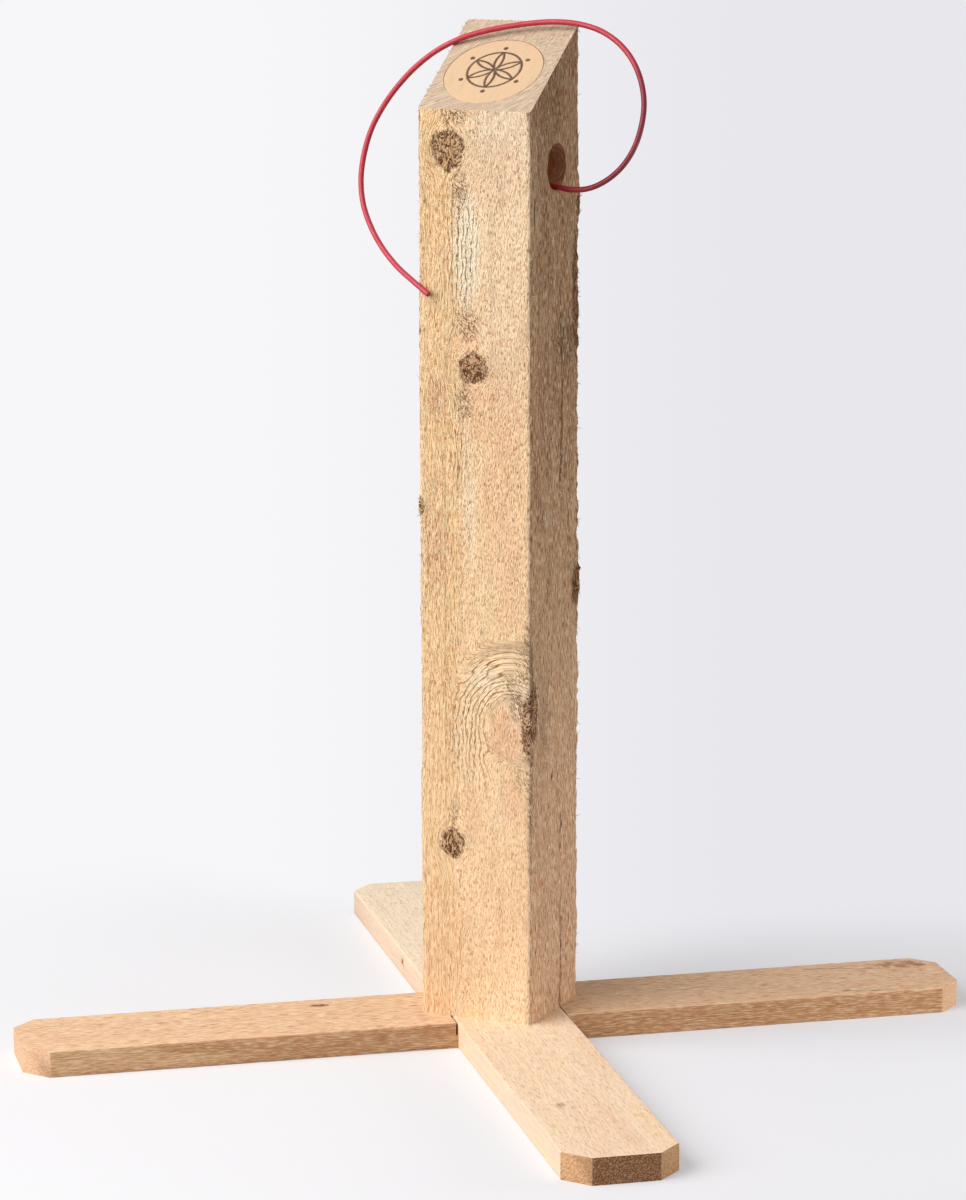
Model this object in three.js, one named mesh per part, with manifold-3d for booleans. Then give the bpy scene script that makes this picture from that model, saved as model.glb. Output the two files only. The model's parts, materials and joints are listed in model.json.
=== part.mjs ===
// A scratching post for a cat: a rough-sawn square beam with a slanted top, standing on a
// half-lapped cross of two boards. One bolt from below holds the beam, so the beam can be
// turned on the cross. A springy red play cord comes out of a bore in the beam's side, loops
// over the slanted top and ends at the front face.
// Millimetres and degrees, +Z up. The origin is on the floor, in the middle of the footprint of
// the cross; the lower board runs along X and the upper board along Y.
import * as THREE from 'three';
import { mergeVertices } from 'three/addons/utils/BufferGeometryUtils.js';
import Module from 'manifold-3d';

// ---------------------------------------------------------------- driving dimensions

// The beam. Its own frame has +Z up its middle, -Y out of its low front face and +X out of the
// side that has the bore. Heights are from its foot.
const POST_WIDTH = 90;
const POST_HEIGHT = 744; // at the high back edge
const TOP_ANGLE = 33; // slant of the top, rising to the back
const POST_EDGE_RADIUS = 1.5; // worn long edges
const POST_TURN = -37.5; // how far the beam stands turned on the cross

// The bore in the beam's side, with a narrow socket in its floor that grips the cord.
const BORE_DIAMETER = 35;
const BORE_DEPTH = 45;
const BORE_HEIGHT = 642;
const BORE_OFFSET = 2.5; // off the middle of the side, towards the back
const SOCKET_DEPTH = 14;
const SOCKET_DROP = 11.5; // below the bore's middle
const SOCKET_OFFSET = 0.5; // from the bore's middle, towards the back

// The disc let into the slanted top.
const DISC_DIAMETER = 75;
const DISC_THICKNESS = 4;
const DISC_CHAMFER = 0.4;
const DISC_DOWNHILL = 7.5; // below the middle of the slanted face
const DISC_SIDEWAYS = -1.5;

// The two boards of the cross.
const BOARD_LENGTH = 730;
const BOARD_WIDTH = 85;
const BOARD_THICKNESS = 20;
const BOARD_CORNER_CLIP = 18; // 45 degree cut across each corner
const BOARD_EDGE_EASE = 0.8;
const LAP_OFFSET = 5; // the lap lies this far off the middle of each board

// The bolt with its flat head, its washer and the insert that it screws into.
const BOLT_DIAMETER = 8;
const BOLT_LENGTH = 48; // under the head
const BOLT_TIP_CHAMFER = 1;
const HEAD_DIAMETER = 17;
const HEAD_HEIGHT = 2.6;
const HEAD_CHAMFER = 0.6;
const HEAD_RECESS = 1; // the head lies this far above the floor
const KEY_SIZE = 5; // across the flats of the hexagon socket
const KEY_DEPTH = 1.8;
const WASHER_DIAMETER = 24;
const WASHER_THICKNESS = 2;
const INSERT_LENGTH = 28;
const INSERT_CORE_DIAMETER = 10.4;
const INSERT_THREAD_DIAMETER = 12.5;
const INSERT_THREAD_PITCH = 4;
const INSERT_FLANGE_DIAMETER = 16;
const INSERT_FLANGE_THICKNESS = 1.5;

// The play cord: a red cover over a spring wire.
const CORD_DIAMETER = 4.2;
const CORD_BORE_DIAMETER = 2.2;
const CORE_DIAMETER = 1.4;

// Clearances.
const FIT = 0.3; // between pieces that are glued, pressed or let into each other
const LAP_SLACK = 0.9; // on each side of the upper board, where the slit shows
const BOLT_CLEARANCE = 0.5; // round the bolt in the boards
const WASHER_CLEARANCE = 1; // round the washer in its counterbore
const CUT = 2; // how far cutting tools stand past the surface they cut

// Where the beam stands, and the roundness of curved faces.
const AXIS = new THREE.Vector2(LAP_OFFSET, LAP_OFFSET);
const ROUND_SEGMENTS = 40;
const FINE_SEGMENTS = 20;
const CORD_SIDES = 10;
const CORE_SIDES = 6;
const CORD_STEPS = 76;

// The cord's middle line in the beam's frame, chosen point by point: out of the socket, over
// the lower rim of the bore, out and up in a loop to the right, along the slanted top near its
// back, over its left edge, out to the left and back to the front face.
const CORD_ROUTE = [
  [-14, 3, 630.5],
  [0, 3, 630.5],
  [15, 3, 629.8],
  [30, 3, 628.6],
  [44, 3, 627.1],
  [56, 3, 625.4],
  [70, 4, 626.8],
  [83, 6, 633],
  [94, 9, 643],
  [102, 12.5, 656.5],
  [106, 16.5, 672],
  [106.5, 20.5, 688],
  [102.5, 24.5, 704],
  [94.5, 28, 718.5],
  [82.5, 31, 730.5],
  [67.5, 33, 739],
  [50.5, 34, 743.5],
  [32.5, 33.5, 744.8],
  [14, 32, 743.6],
  [-4.5, 28.5, 740.8],
  [-22.5, 23.5, 737],
  [-39.5, 18.5, 731.5],
  [-56, 15, 723],
  [-71.5, 13, 711.5],
  [-85.5, 11.5, 697.5],
  [-97.5, 9.5, 681.5],
  [-106.5, 6.5, 664],
  [-111, 2.5, 645.5],
  [-111, -3.5, 627],
  [-106, -10.5, 609.5],
  [-96, -18.5, 593.5],
  [-82.5, -27.5, 579.5],
  [-66, -37, 567.5],
  [-49.5, -45, 558.5],
  [-34, -51, 550],
];

// ---------------------------------------------------------------- sizes worked out from them

const TOP_SLOPE = Math.tan(THREE.MathUtils.degToRad(TOP_ANGLE));
const TOP_MIDDLE = POST_HEIGHT - (POST_WIDTH / 2) * TOP_SLOPE;
const COUNTERBORE_DEPTH = HEAD_RECESS + HEAD_HEIGHT + WASHER_THICKNESS;
const HEAD_TOP = HEAD_RECESS + HEAD_HEIGHT;
const LAP_HEIGHT = BOARD_THICKNESS / 2;
const BOLT_REACH = HEAD_TOP + BOLT_LENGTH - BOARD_THICKNESS; // above the beam's foot

// ---------------------------------------------------------------- materials

const material = (color, roughness, metalness) =>
  new THREE.MeshStandardMaterial({ color, roughness, metalness });
const sawnSpruce = material('#e2bd8e', 0.85, 0);
const planedSpruce = material('#dcb083', 0.7, 0);
const paleDisc = material('#efd3a4', 0.65, 0);
const zincSteel = material('#b9bcbe', 0.35, 1);
const redCover = material('#c4314a', 0.35, 0);
const springSteel = material('#8d8f92', 0.3, 1);

// ---------------------------------------------------------------- solid modelling helpers

const wasm = await Module();
wasm.setup();

// Turns a closed three.js geometry into a solid that can be joined and cut.
function solid(geometry) {
  const bare = geometry.clone();
  bare.deleteAttribute('normal');
  bare.deleteAttribute('uv');
  const merged = mergeVertices(bare, 1e-4);
  return new wasm.Manifold(new wasm.Mesh({
    numProp: 3,
    vertProperties: new Float32Array(merged.attributes.position.array),
    triVerts: new Uint32Array(merged.index.array),
  }));
}

// Turns a solid back into a geometry.
function geometryOf(body) {
  const { vertProperties, triVerts } = body.getMesh();
  const geometry = new THREE.BufferGeometry();
  geometry.setAttribute('position', new THREE.BufferAttribute(vertProperties, 3));
  geometry.setIndex(new THREE.BufferAttribute(triVerts, 1));
  geometry.computeVertexNormals();
  return geometry;
}

function namedMesh(name, shape, finish) {
  const geometry = shape instanceof THREE.BufferGeometry ? shape : geometryOf(shape);
  const mesh = new THREE.Mesh(geometry, finish);
  mesh.name = name;
  return mesh;
}

// A round bar along +Z that starts at the height given.
function bar(diameter, length, start = 0, segments = ROUND_SEGMENTS) {
  const radius = diameter / 2;
  const geometry = new THREE.CylinderGeometry(radius, radius, length, segments);
  return geometry.rotateX(Math.PI / 2).translate(0, 0, start + length / 2);
}

// A solid of revolution about Z from [radius, height] pairs.
function turned(profile, segments = ROUND_SEGMENTS) {
  const points = profile.map(([radius, height]) => new THREE.Vector2(radius, height));
  return new THREE.LatheGeometry(points, segments).rotateX(Math.PI / 2);
}

function box(sizeX, sizeY, sizeZ, x, y, z) {
  return new THREE.BoxGeometry(sizeX, sizeY, sizeZ).translate(x, y, z);
}

// ---------------------------------------------------------------- the beam and its disc

function roundedSquare(width, radius) {
  const flat = width / 2 - radius;
  const outline = new THREE.Shape();
  outline.absarc(flat, flat, radius, 0, Math.PI / 2);
  outline.absarc(-flat, flat, radius, Math.PI / 2, Math.PI);
  outline.absarc(-flat, -flat, radius, Math.PI, Math.PI * 1.5);
  outline.absarc(flat, -flat, radius, Math.PI * 1.5, Math.PI * 2);
  return outline;
}

// Moves a geometry made on the plane z = 0 onto the slanted top, at the disc's place.
function onSlantedTop(geometry) {
  return geometry
    .translate(DISC_SIDEWAYS, -DISC_DOWNHILL, 0)
    .rotateX(THREE.MathUtils.degToRad(TOP_ANGLE))
    .translate(0, 0, TOP_MIDDLE);
}

function makePost() {
  const beam = new THREE.ExtrudeGeometry(roundedSquare(POST_WIDTH, POST_EDGE_RADIUS), {
    depth: POST_HEIGHT + CUT, bevelEnabled: false, curveSegments: 3,
  });

  // What the slanting saw cut takes off, as a side view that is extruded across the beam.
  const reach = POST_WIDTH / 2 + CUT;
  const offcut = new THREE.Shape([
    new THREE.Vector2(-reach, TOP_MIDDLE - reach * TOP_SLOPE),
    new THREE.Vector2(reach, TOP_MIDDLE + reach * TOP_SLOPE),
    new THREE.Vector2(reach, POST_HEIGHT + reach),
    new THREE.Vector2(-reach, POST_HEIGHT + reach),
  ]);
  const acrossBeam = new THREE.Matrix4().makeBasis(
    new THREE.Vector3(0, 1, 0), new THREE.Vector3(0, 0, 1), new THREE.Vector3(1, 0, 0));
  const sawCut = new THREE.ExtrudeGeometry(offcut, { depth: 2 * reach, bevelEnabled: false })
    .translate(0, 0, -reach).applyMatrix4(acrossBeam);

  const boreFloor = POST_WIDTH / 2 - BORE_DEPTH;
  const bore = bar(BORE_DIAMETER, BORE_DEPTH + CUT).rotateY(Math.PI / 2)
    .translate(boreFloor, BORE_OFFSET, BORE_HEIGHT);
  const socketLength = SOCKET_DEPTH + FIT;
  const socket = bar(CORD_DIAMETER + 2 * FIT, socketLength + CUT, -socketLength, FINE_SEGMENTS)
    .rotateY(Math.PI / 2)
    .translate(boreFloor, BORE_OFFSET + SOCKET_OFFSET, BORE_HEIGHT - SOCKET_DROP);

  const discSeat = onSlantedTop(
    bar(DISC_DIAMETER + 2 * FIT, DISC_THICKNESS + FIT + CUT, -DISC_THICKNESS - FIT, 64));

  const insertHole = bar(INSERT_THREAD_DIAMETER + 2 * FIT, INSERT_LENGTH + FIT + CUT, -CUT);
  const flangeSeat = bar(
    INSERT_FLANGE_DIAMETER + 2 * FIT, INSERT_FLANGE_THICKNESS + FIT + CUT, -CUT);
  const boltHole = bar(BOLT_DIAMETER + 2 * BOLT_CLEARANCE, BOLT_REACH + WASHER_CLEARANCE);

  return [sawCut, bore, socket, discSeat, insertHole, flangeSeat, boltHole]
    .reduce((body, tool) => body.subtract(solid(tool)), solid(beam));
}

function makeTopDisc() {
  const radius = DISC_DIAMETER / 2;
  return onSlantedTop(turned([
    [0, -DISC_THICKNESS],
    [radius, -DISC_THICKNESS],
    [radius, -DISC_CHAMFER],
    [radius - DISC_CHAMFER, 0],
    [0, 0],
  ], 64));
}

// ---------------------------------------------------------------- the cross

// A board along X with clipped corners, its middle at the origin and its foot on the floor.
function plainBoard() {
  const end = BOARD_LENGTH / 2;
  const side = BOARD_WIDTH / 2;
  const clip = BOARD_CORNER_CLIP;
  const outline = new THREE.Shape([
    new THREE.Vector2(-end, -side + clip), new THREE.Vector2(-end + clip, -side),
    new THREE.Vector2(end - clip, -side), new THREE.Vector2(end, -side + clip),
    new THREE.Vector2(end, side - clip), new THREE.Vector2(end - clip, side),
    new THREE.Vector2(-end + clip, side), new THREE.Vector2(-end, side - clip),
  ]);
  return new THREE.ExtrudeGeometry(outline, {
    depth: BOARD_THICKNESS - 2 * BOARD_EDGE_EASE,
    bevelThickness: BOARD_EDGE_EASE,
    bevelSize: BOARD_EDGE_EASE,
    bevelOffset: -BOARD_EDGE_EASE,
    bevelSegments: 1,
  }).translate(0, 0, BOARD_EDGE_EASE);
}

function boltPassage() {
  const diameter = BOLT_DIAMETER + 2 * BOLT_CLEARANCE;
  return bar(diameter, BOARD_THICKNESS + 2 * CUT, -CUT).translate(AXIS.x, AXIS.y, 0);
}

function makeLowerBoard() {
  const board = plainBoard().translate(0, AXIS.y, 0);
  const notchHeight = LAP_HEIGHT + CUT;
  const notch = box(
    BOARD_WIDTH + 2 * LAP_SLACK, BOARD_WIDTH + 2 * CUT, notchHeight,
    AXIS.x, AXIS.y, BOARD_THICKNESS - LAP_HEIGHT + notchHeight / 2);
  const counterbore = bar(WASHER_DIAMETER + 2 * WASHER_CLEARANCE, COUNTERBORE_DEPTH + CUT, -CUT)
    .translate(AXIS.x, AXIS.y, 0);
  return solid(board).subtract(solid(notch)).subtract(solid(counterbore))
    .subtract(solid(boltPassage()));
}

function makeUpperBoard() {
  const board = plainBoard().rotateZ(Math.PI / 2).translate(AXIS.x, 0, 0);
  const notchHeight = BOARD_THICKNESS - LAP_HEIGHT + CUT;
  const notch = box(
    BOARD_WIDTH + 2 * CUT, BOARD_WIDTH + 2 * FIT, notchHeight,
    AXIS.x, AXIS.y, notchHeight / 2 - CUT);
  return solid(board).subtract(solid(notch)).subtract(solid(boltPassage()));
}

// ---------------------------------------------------------------- the fastener

function makeBolt() {
  const head = HEAD_DIAMETER / 2;
  const shank = BOLT_DIAMETER / 2;
  const tip = HEAD_TOP + BOLT_LENGTH;
  const blank = turned([
    [0, HEAD_RECESS],
    [head - HEAD_CHAMFER, HEAD_RECESS],
    [head, HEAD_RECESS + HEAD_CHAMFER],
    [head, HEAD_TOP],
    [shank, HEAD_TOP],
    [shank, tip - BOLT_TIP_CHAMFER],
    [shank - BOLT_TIP_CHAMFER, tip],
    [0, tip],
  ]);
  const acrossCorners = KEY_SIZE / Math.cos(Math.PI / 6);
  const keySocket = bar(acrossCorners, KEY_DEPTH + CUT, HEAD_RECESS - CUT, 6);
  return solid(blank).subtract(solid(keySocket));
}

function makeWasher() {
  const inner = BOLT_DIAMETER / 2 + FIT;
  const outer = WASHER_DIAMETER / 2;
  const top = HEAD_TOP + WASHER_THICKNESS;
  return turned([[inner, HEAD_TOP], [outer, HEAD_TOP], [outer, top], [inner, top], [inner, HEAD_TOP]]);
}

// The insert in the beam's frame, with its flange at the foot and coarse ridges that stand for
// its wood thread.
function makeInsert() {
  const inner = BOLT_DIAMETER / 2 + FIT;
  const core = INSERT_CORE_DIAMETER / 2;
  const crest = INSERT_THREAD_DIAMETER / 2;
  const flange = INSERT_FLANGE_DIAMETER / 2;
  const profile = [[inner, 0], [flange, 0], [flange, INSERT_FLANGE_THICKNESS],
    [core, INSERT_FLANGE_THICKNESS]];
  const rise = crest - core;
  const firstRidge = INSERT_FLANGE_THICKNESS + INSERT_THREAD_PITCH / 2;
  for (let z = firstRidge; z + 2 * rise < INSERT_LENGTH; z += INSERT_THREAD_PITCH) {
    profile.push([core, z], [crest, z + rise], [core, z + 2 * rise]);
  }
  profile.push([core, INSERT_LENGTH], [inner, INSERT_LENGTH], [inner, 0]);
  return turned(profile, 24);
}

// ---------------------------------------------------------------- the play cord

function circleOutline(diameter, sides) {
  const corners = Array.from({ length: sides }, (_, i) => {
    const angle = (2 * Math.PI * i) / sides;
    return new THREE.Vector2(Math.cos(angle), Math.sin(angle)).multiplyScalar(diameter / 2);
  });
  return new THREE.Shape(corners);
}

const cordLine = new THREE.CatmullRomCurve3(CORD_ROUTE.map((point) => new THREE.Vector3(...point)));

function alongCord(outline) {
  return new THREE.ExtrudeGeometry(outline, {
    steps: CORD_STEPS, extrudePath: cordLine, bevelEnabled: false,
  });
}

function makeCordCover() {
  const outline = circleOutline(CORD_DIAMETER, CORD_SIDES);
  outline.holes.push(circleOutline(CORD_BORE_DIAMETER, CORD_SIDES));
  return alongCord(outline);
}

// ---------------------------------------------------------------- assembly

const root = new THREE.Group();
root.add(namedMesh('cross_board_lower', makeLowerBoard(), planedSpruce));
root.add(namedMesh('cross_board_upper', makeUpperBoard(), planedSpruce));

// The fastener stands on the axis that the beam turns about.
const fastener = new THREE.Group();
fastener.position.set(AXIS.x, AXIS.y, 0);
fastener.add(namedMesh('washer', makeWasher(), zincSteel));
fastener.add(namedMesh('bolt', makeBolt(), zincSteel));
root.add(fastener);

// The beam stands on the cross, turned about the same axis, with all that goes round with it.
const beam = new THREE.Group();
beam.position.set(AXIS.x, AXIS.y, BOARD_THICKNESS);
beam.rotation.z = THREE.MathUtils.degToRad(POST_TURN);
beam.add(namedMesh('post', makePost(), sawnSpruce));
beam.add(namedMesh('top_disc', makeTopDisc(), paleDisc));
beam.add(namedMesh('threaded_insert', makeInsert(), zincSteel));
beam.add(namedMesh('cord_cover', makeCordCover(), redCover));
beam.add(namedMesh('cord_core', alongCord(circleOutline(CORE_DIAMETER, CORE_SIDES)), springSteel));
root.add(beam);

export default root;
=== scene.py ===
import json
import math
from collections import namedtuple

import bpy
import numpy as np
from mathutils import Matrix, Vector


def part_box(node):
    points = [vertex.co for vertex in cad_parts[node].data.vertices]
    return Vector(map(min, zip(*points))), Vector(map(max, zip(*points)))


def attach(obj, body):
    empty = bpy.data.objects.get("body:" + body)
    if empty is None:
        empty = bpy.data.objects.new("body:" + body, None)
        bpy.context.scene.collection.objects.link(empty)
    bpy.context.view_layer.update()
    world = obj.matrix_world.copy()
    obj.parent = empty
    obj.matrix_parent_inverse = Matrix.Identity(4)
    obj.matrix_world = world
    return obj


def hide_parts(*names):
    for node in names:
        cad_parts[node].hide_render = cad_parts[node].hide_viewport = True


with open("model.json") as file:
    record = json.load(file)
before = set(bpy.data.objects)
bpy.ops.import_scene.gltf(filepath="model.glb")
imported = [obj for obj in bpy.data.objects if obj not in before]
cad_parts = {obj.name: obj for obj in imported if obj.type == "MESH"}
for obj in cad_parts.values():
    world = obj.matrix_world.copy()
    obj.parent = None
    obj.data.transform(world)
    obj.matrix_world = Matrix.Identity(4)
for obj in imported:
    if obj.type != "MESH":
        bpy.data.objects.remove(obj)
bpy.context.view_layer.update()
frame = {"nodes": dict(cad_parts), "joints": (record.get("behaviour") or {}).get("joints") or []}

bl_info = {
    "name": "Scratching Post Dresser",
    "version": (1, 0, 0),
    "blender": (4, 5, 0),
    "location": "3D View > Sidebar > Scratching Post",
    "description": "Dresses the solids of a cat's scratching post with sawn wood, fibres and a cord",
    "category": "Object",
}

# ---------------------------------------------------------------- sizes, in millimetres

MM = 0.001

# The post stands turned on the joint's axis, and everything on it is placed in its own frame:
# +Z up its middle, -Y out of its low front face and +X out of the face that has the bore.
POST_TURN = math.radians(-37.5)
POST_FOOT = Vector(frame["joints"][0]["pos_m"])
POST_PLACE = Matrix.Translation(POST_FOOT) @ Matrix.Rotation(POST_TURN, 4, "Z")
POST_HALF = 45.0
POST_HEIGHT = (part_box("post")[1].z - POST_FOOT.z) / MM
POST_EDGE_RADIUS = 1.5
POST_PITH = (-90, 70)  # the rings on its cut top are arcs about this place
TOP_ANGLE = math.radians(33)
TOP_SLOPE = math.tan(TOP_ANGLE)
TOP_MIDDLE = POST_HEIGHT - POST_HALF * TOP_SLOPE

BORE_RADIUS = 17.5
BORE_DEPTH = 45.0
BORE_HEIGHT = 642.0
BORE_OFFSET = 2.5
SOCKET_RADIUS = 2.4
SOCKET_DEPTH = 14.3
SOCKET_DROP = 11.5
SOCKET_OFFSET = 0.5

DISC_RADIUS = 37.5
DISC_THICKNESS = 4.0
DISC_DOWNHILL = 7.5
DISC_SIDEWAYS = -1.5
FIT = 0.3

INSERT_HOLE_RADIUS = 6.55
INSERT_HOLE_DEPTH = 28.3
FLANGE_SEAT_RADIUS = 8.3
FLANGE_SEAT_DEPTH = 1.8
BOLT_HOLE_RADIUS = 4.5
BOLT_HOLE_DEPTH = 32.6

# The boards of the cross, read from their solids.
BOARD_LOW, BOARD_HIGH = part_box("cross_board_lower")
BOARD_LENGTH = (BOARD_HIGH.x - BOARD_LOW.x) / MM
BOARD_WIDTH = (BOARD_HIGH.y - BOARD_LOW.y) / MM
BOARD_THICKNESS = (BOARD_HIGH.z - BOARD_LOW.z) / MM
BOARD_CLIP = 18.0
BOARD_EDGE_RADIUS = 0.9
BOARD_GRID_ACROSS = 2.4
BOARD_GRID_ALONG = 4.0
BOARD_PITH = (60, 75)  # the rings on its sawn ends are arcs about this place
LAP_SLACK = 1.7  # the slit that stands open on the left of the lap
COUNTERBORE_RADIUS = 13.0
COUNTERBORE_DEPTH = 5.6
CUT_SPARE = 2  # how far a cutter of the lap reaches past the wood

# Distances across and along the grain are multiplied by these before the marks are drawn: more
# than 1 across makes the marks of that wood thinner, and less than 1 along makes them longer.
RIGHT_FACE_SCALE = (1.2, 0.55)
STRAIGHT_SCALE = (1.5, 0.62)
BOARD_SCALE = (1.0, 0.35)

# A place this close to a timber's end counts to the end.
END_REACH = 0.05
# The distance to a crack that stands for none being near.
NO_CRACK = 30.0
# A noise with cells this wide changes hardly at all across a timber.
ALONG_ONLY = 400

CORD_RADIUS = 2.1
CORD_BORE_RADIUS = 1.1

# The cord's middle line in the post's frame: out of the socket, over the lower rim of the
# bore, out and up in a loop to the right, along the slanted top near its back, over its left
# edge, out to the left and back to the front face.
CORD_ROUTE = [
    (-14, 3, 630.5), (0, 3, 630.5), (15, 3, 629.8), (30, 3, 628.6), (44, 3, 627.1),
    (56, 3, 625.4), (70, 4, 626.8), (83, 6, 633), (94, 9, 643), (102, 12.5, 656.5),
    (106, 16.5, 672), (106.5, 20.5, 688), (102.5, 24.5, 704), (94.5, 28, 718.5),
    (82.5, 31, 730.5), (67.5, 33, 739), (50.5, 34, 743.5), (32.5, 33.5, 744.8),
    (14, 32, 743.6), (-4.5, 28.5, 740.8), (-22.5, 23.5, 737), (-39.5, 18.5, 731.5),
    (-56, 15, 723), (-71.5, 13, 711.5), (-85.5, 11.5, 697.5), (-97.5, 9.5, 681.5),
    (-106.5, 6.5, 664), (-111, 2.5, 645.5), (-111, -3.5, 627), (-106, -10.5, 609.5),
    (-96, -18.5, 593.5), (-82.5, -27.5, 579.5), (-66, -37, 567.5), (-49.5, -45, 558.5),
    (-34, -51, 550),
]
CORD_STEPS_PER_POINT = 9
CORD_SIDES = 18

# The camera, solved from the photograph's straight edges.
CAMERA_PLACE = Vector((-0.7598, -3.1551, 1.0049))
CAMERA_HEADING = math.radians(-13.388)
CAMERA_DIP = math.radians(11.648)
CAMERA_ROLL = math.radians(-0.099)
CAMERA_LENS = 132.66  # on a sensor 36 mm long


def srgb(red, green, blue):
    """A screen colour given from 0 to 255, as the linear colour that Blender works with."""
    levels = (np.array([red, green, blue]) / 255.0).clip(0, 1)
    linear = np.where(levels <= 0.04045, levels / 12.92, ((levels + 0.055) / 1.055) ** 2.4)
    return tuple(float(level) for level in linear)


# ---------------------------------------------------------------- settings a user would change


def colour(name, description, red, green, blue):
    """A colour setting whose default is a screen colour from 0 to 255."""
    return bpy.props.FloatVectorProperty(
        name=name, description=description, subtype="COLOR", size=3, min=0, max=1,
        default=srgb(red, green, blue))


class WoodSettings(bpy.types.PropertyGroup):
    """Colours and roughness of the wood."""
    straw: colour("Straw", "Main colour of the sawn post", 252, 216, 172)
    honey: colour("Honey", "Warmer colour on the left of the post's front", 255, 214, 160)
    cream: colour("Cream", "Pale sapwood near the post's top", 252, 230, 200)
    rose: colour("Rose", "Pinkish wood in the swirls", 238, 186, 148)
    ash: colour("Ash", "Greyish wood between the wavy rings", 252, 240, 216)
    pale: colour("Pale Fibre", "Torn fibres that catch the light", 255, 237, 198)
    knot: colour("Knot", "Fur of a knot", 164, 110, 68)
    heart: colour("Heart", "Pits in the fur of a knot", 84, 46, 24)
    crack: colour("Crack", "Inside of a drying crack", 64, 42, 30)
    # Partly painted shade: the face with the bore is given a darker brown than the front.
    brown_and_shade: colour("Bark", "Brown face that has the bore", 200, 146, 106)
    bore: colour("Bore", "Inside of the bore", 212, 150, 106)
    top: colour("Slanted Top", "Cut face of the post's top", 205, 182, 160)
    lower_board: colour("Lower Board", "Broad faces of the lower board", 243, 200, 163)
    lower_side: colour("Lower Board Side", "Narrow faces of the lower board", 194, 144, 102)
    lower_clip: colour("Lower Board End", "Sawn ends of the lower board", 228, 184, 148)
    upper_board: colour("Upper Board", "Broad faces of the upper board", 251, 223, 194)
    # Painted light: the upper board's top well behind the post is given this paler colour.
    upper_far_painted_light: colour("Upper Board Far", "Top of the upper board behind the post", 255, 236, 210)
    upper_side: colour("Upper Board Side", "Narrow faces of the upper board", 234, 210, 186)
    upper_clip: colour("Upper Board Clip", "Clipped corners of the upper board", 196, 148, 104)
    board_end: colour("Board End", "End grain of the upper board", 134, 82, 42)
    disc: colour("Disc", "Sanded wood of the inlaid disc", 219, 188, 152)
    burn: colour("Burn", "Burnt lines of the rosette", 62, 36, 20)


class PostSettings(bpy.types.PropertyGroup):
    """Sizes of the post's mesh, its saw marks and its loose fibres."""
    grid_across: bpy.props.FloatProperty(
        name="Grid Across", description="Spacing of the mesh round the post",
        default=1.5 * MM, min=0.5 * MM, max=10 * MM, subtype="DISTANCE", unit="LENGTH", precision=4)
    grid_along: bpy.props.FloatProperty(
        name="Grid Along", description="Spacing of the mesh up the post",
        default=2.6 * MM, min=0.5 * MM, max=20 * MM, subtype="DISTANCE", unit="LENGTH", precision=4)
    roughness: bpy.props.FloatProperty(
        name="Saw Roughness", description="Height of the saw's marks on the faces",
        default=0.3 * MM, min=0, max=2 * MM, subtype="DISTANCE", unit="LENGTH", precision=4)
    fibre_density: bpy.props.FloatProperty(
        name="Fibre Density", description="Loose fibres on each square metre of the furriest wood",
        default=90000, min=0, max=500000)
    fibre_length: bpy.props.FloatProperty(
        name="Fibre Length", description="Length of a loose fibre",
        default=3.2 * MM, min=1 * MM, max=30 * MM, subtype="DISTANCE", unit="LENGTH", precision=4)
    fibre_width: bpy.props.FloatProperty(
        name="Fibre Width", description="Thickness of a loose fibre at its root",
        default=0.5 * MM, min=0.05 * MM, max=3 * MM, subtype="DISTANCE", unit="LENGTH", precision=5)


class CordSettings(bpy.types.PropertyGroup):
    """Finish of the cord."""
    cover: colour("Cover", "Colour of the cord's cover", 190, 46, 64)
    gloss: bpy.props.FloatProperty(
        name="Roughness", description="Roughness of the cord's cover",
        default=0.42, min=0, max=1, subtype="FACTOR")


class StageSettings(bpy.types.PropertyGroup):
    """Light and floor."""
    backdrop: colour("Backdrop", "Colour of the backdrop on the left", 247, 246, 248)
    dim: colour("Dim Backdrop", "Colour of the backdrop on the right", 232, 231, 236)
    floor: colour("Floor", "Colour of the floor near the object", 242, 242, 245)
    floor_radius: bpy.props.FloatProperty(
        name="Floor Radius", description="Where the floor begins to melt into the backdrop",
        default=0.42, min=0.1, max=10, subtype="DISTANCE", unit="LENGTH")
    key: bpy.props.FloatProperty(
        name="Key Light", description="Power of the large light on the left",
        default=156, min=0, max=1000, unit="POWER")
    fill: bpy.props.FloatProperty(
        name="Fill Light", description="Power of the weak low light on the right",
        default=6, min=0, max=1000, unit="POWER")
    ambient: bpy.props.FloatProperty(
        name="Ambient", description="Strength of the light from all round",
        default=0.3, min=0, max=5)


# ---------------------------------------------------------------- noise and blending on arrays

HASH_PRIMES = np.array([73856093, 19349663, 83492791])
SEED_PRIME = 2654435761


def lattice_noise(points, seed):
    """Smooth noise from -1 to 1 with one cell to a unit, at an array of points of 3 numbers."""
    cell = np.floor(points).astype(np.int64)
    offset = points - cell
    ease = offset * offset * (3 - 2 * offset)
    total = np.zeros(len(points))
    for corner in range(8):
        step = np.array([corner & 1, corner >> 1 & 1, corner >> 2 & 1])
        key = ((cell + step) @ HASH_PRIMES + seed * SEED_PRIME) & 0xFFFFFFFF
        key = ((key ^ (key >> 15)) * 0x2C1B3C6D) & 0xFFFFFFFF
        key = ((key ^ (key >> 12)) * 0x297A2D39) & 0xFFFFFFFF
        value = ((key ^ (key >> 15)) & 0xFFFF) / 32767.5 - 1
        total += value * np.prod(np.where(step, ease, 1 - ease), axis=1)
    return total


def strip_noise(across, along, cell_across, cell_along, seed, octaves=1):
    """Noise on a face, with cells of the given size in millimetres; each octave is half as big."""
    points = np.stack([across / cell_across, along / cell_along, np.zeros_like(across)], axis=1)
    total = np.zeros(len(across))
    for octave in range(octaves):
        total += lattice_noise(points * 2 ** octave, seed + octave) / 2 ** octave
    return total


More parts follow.
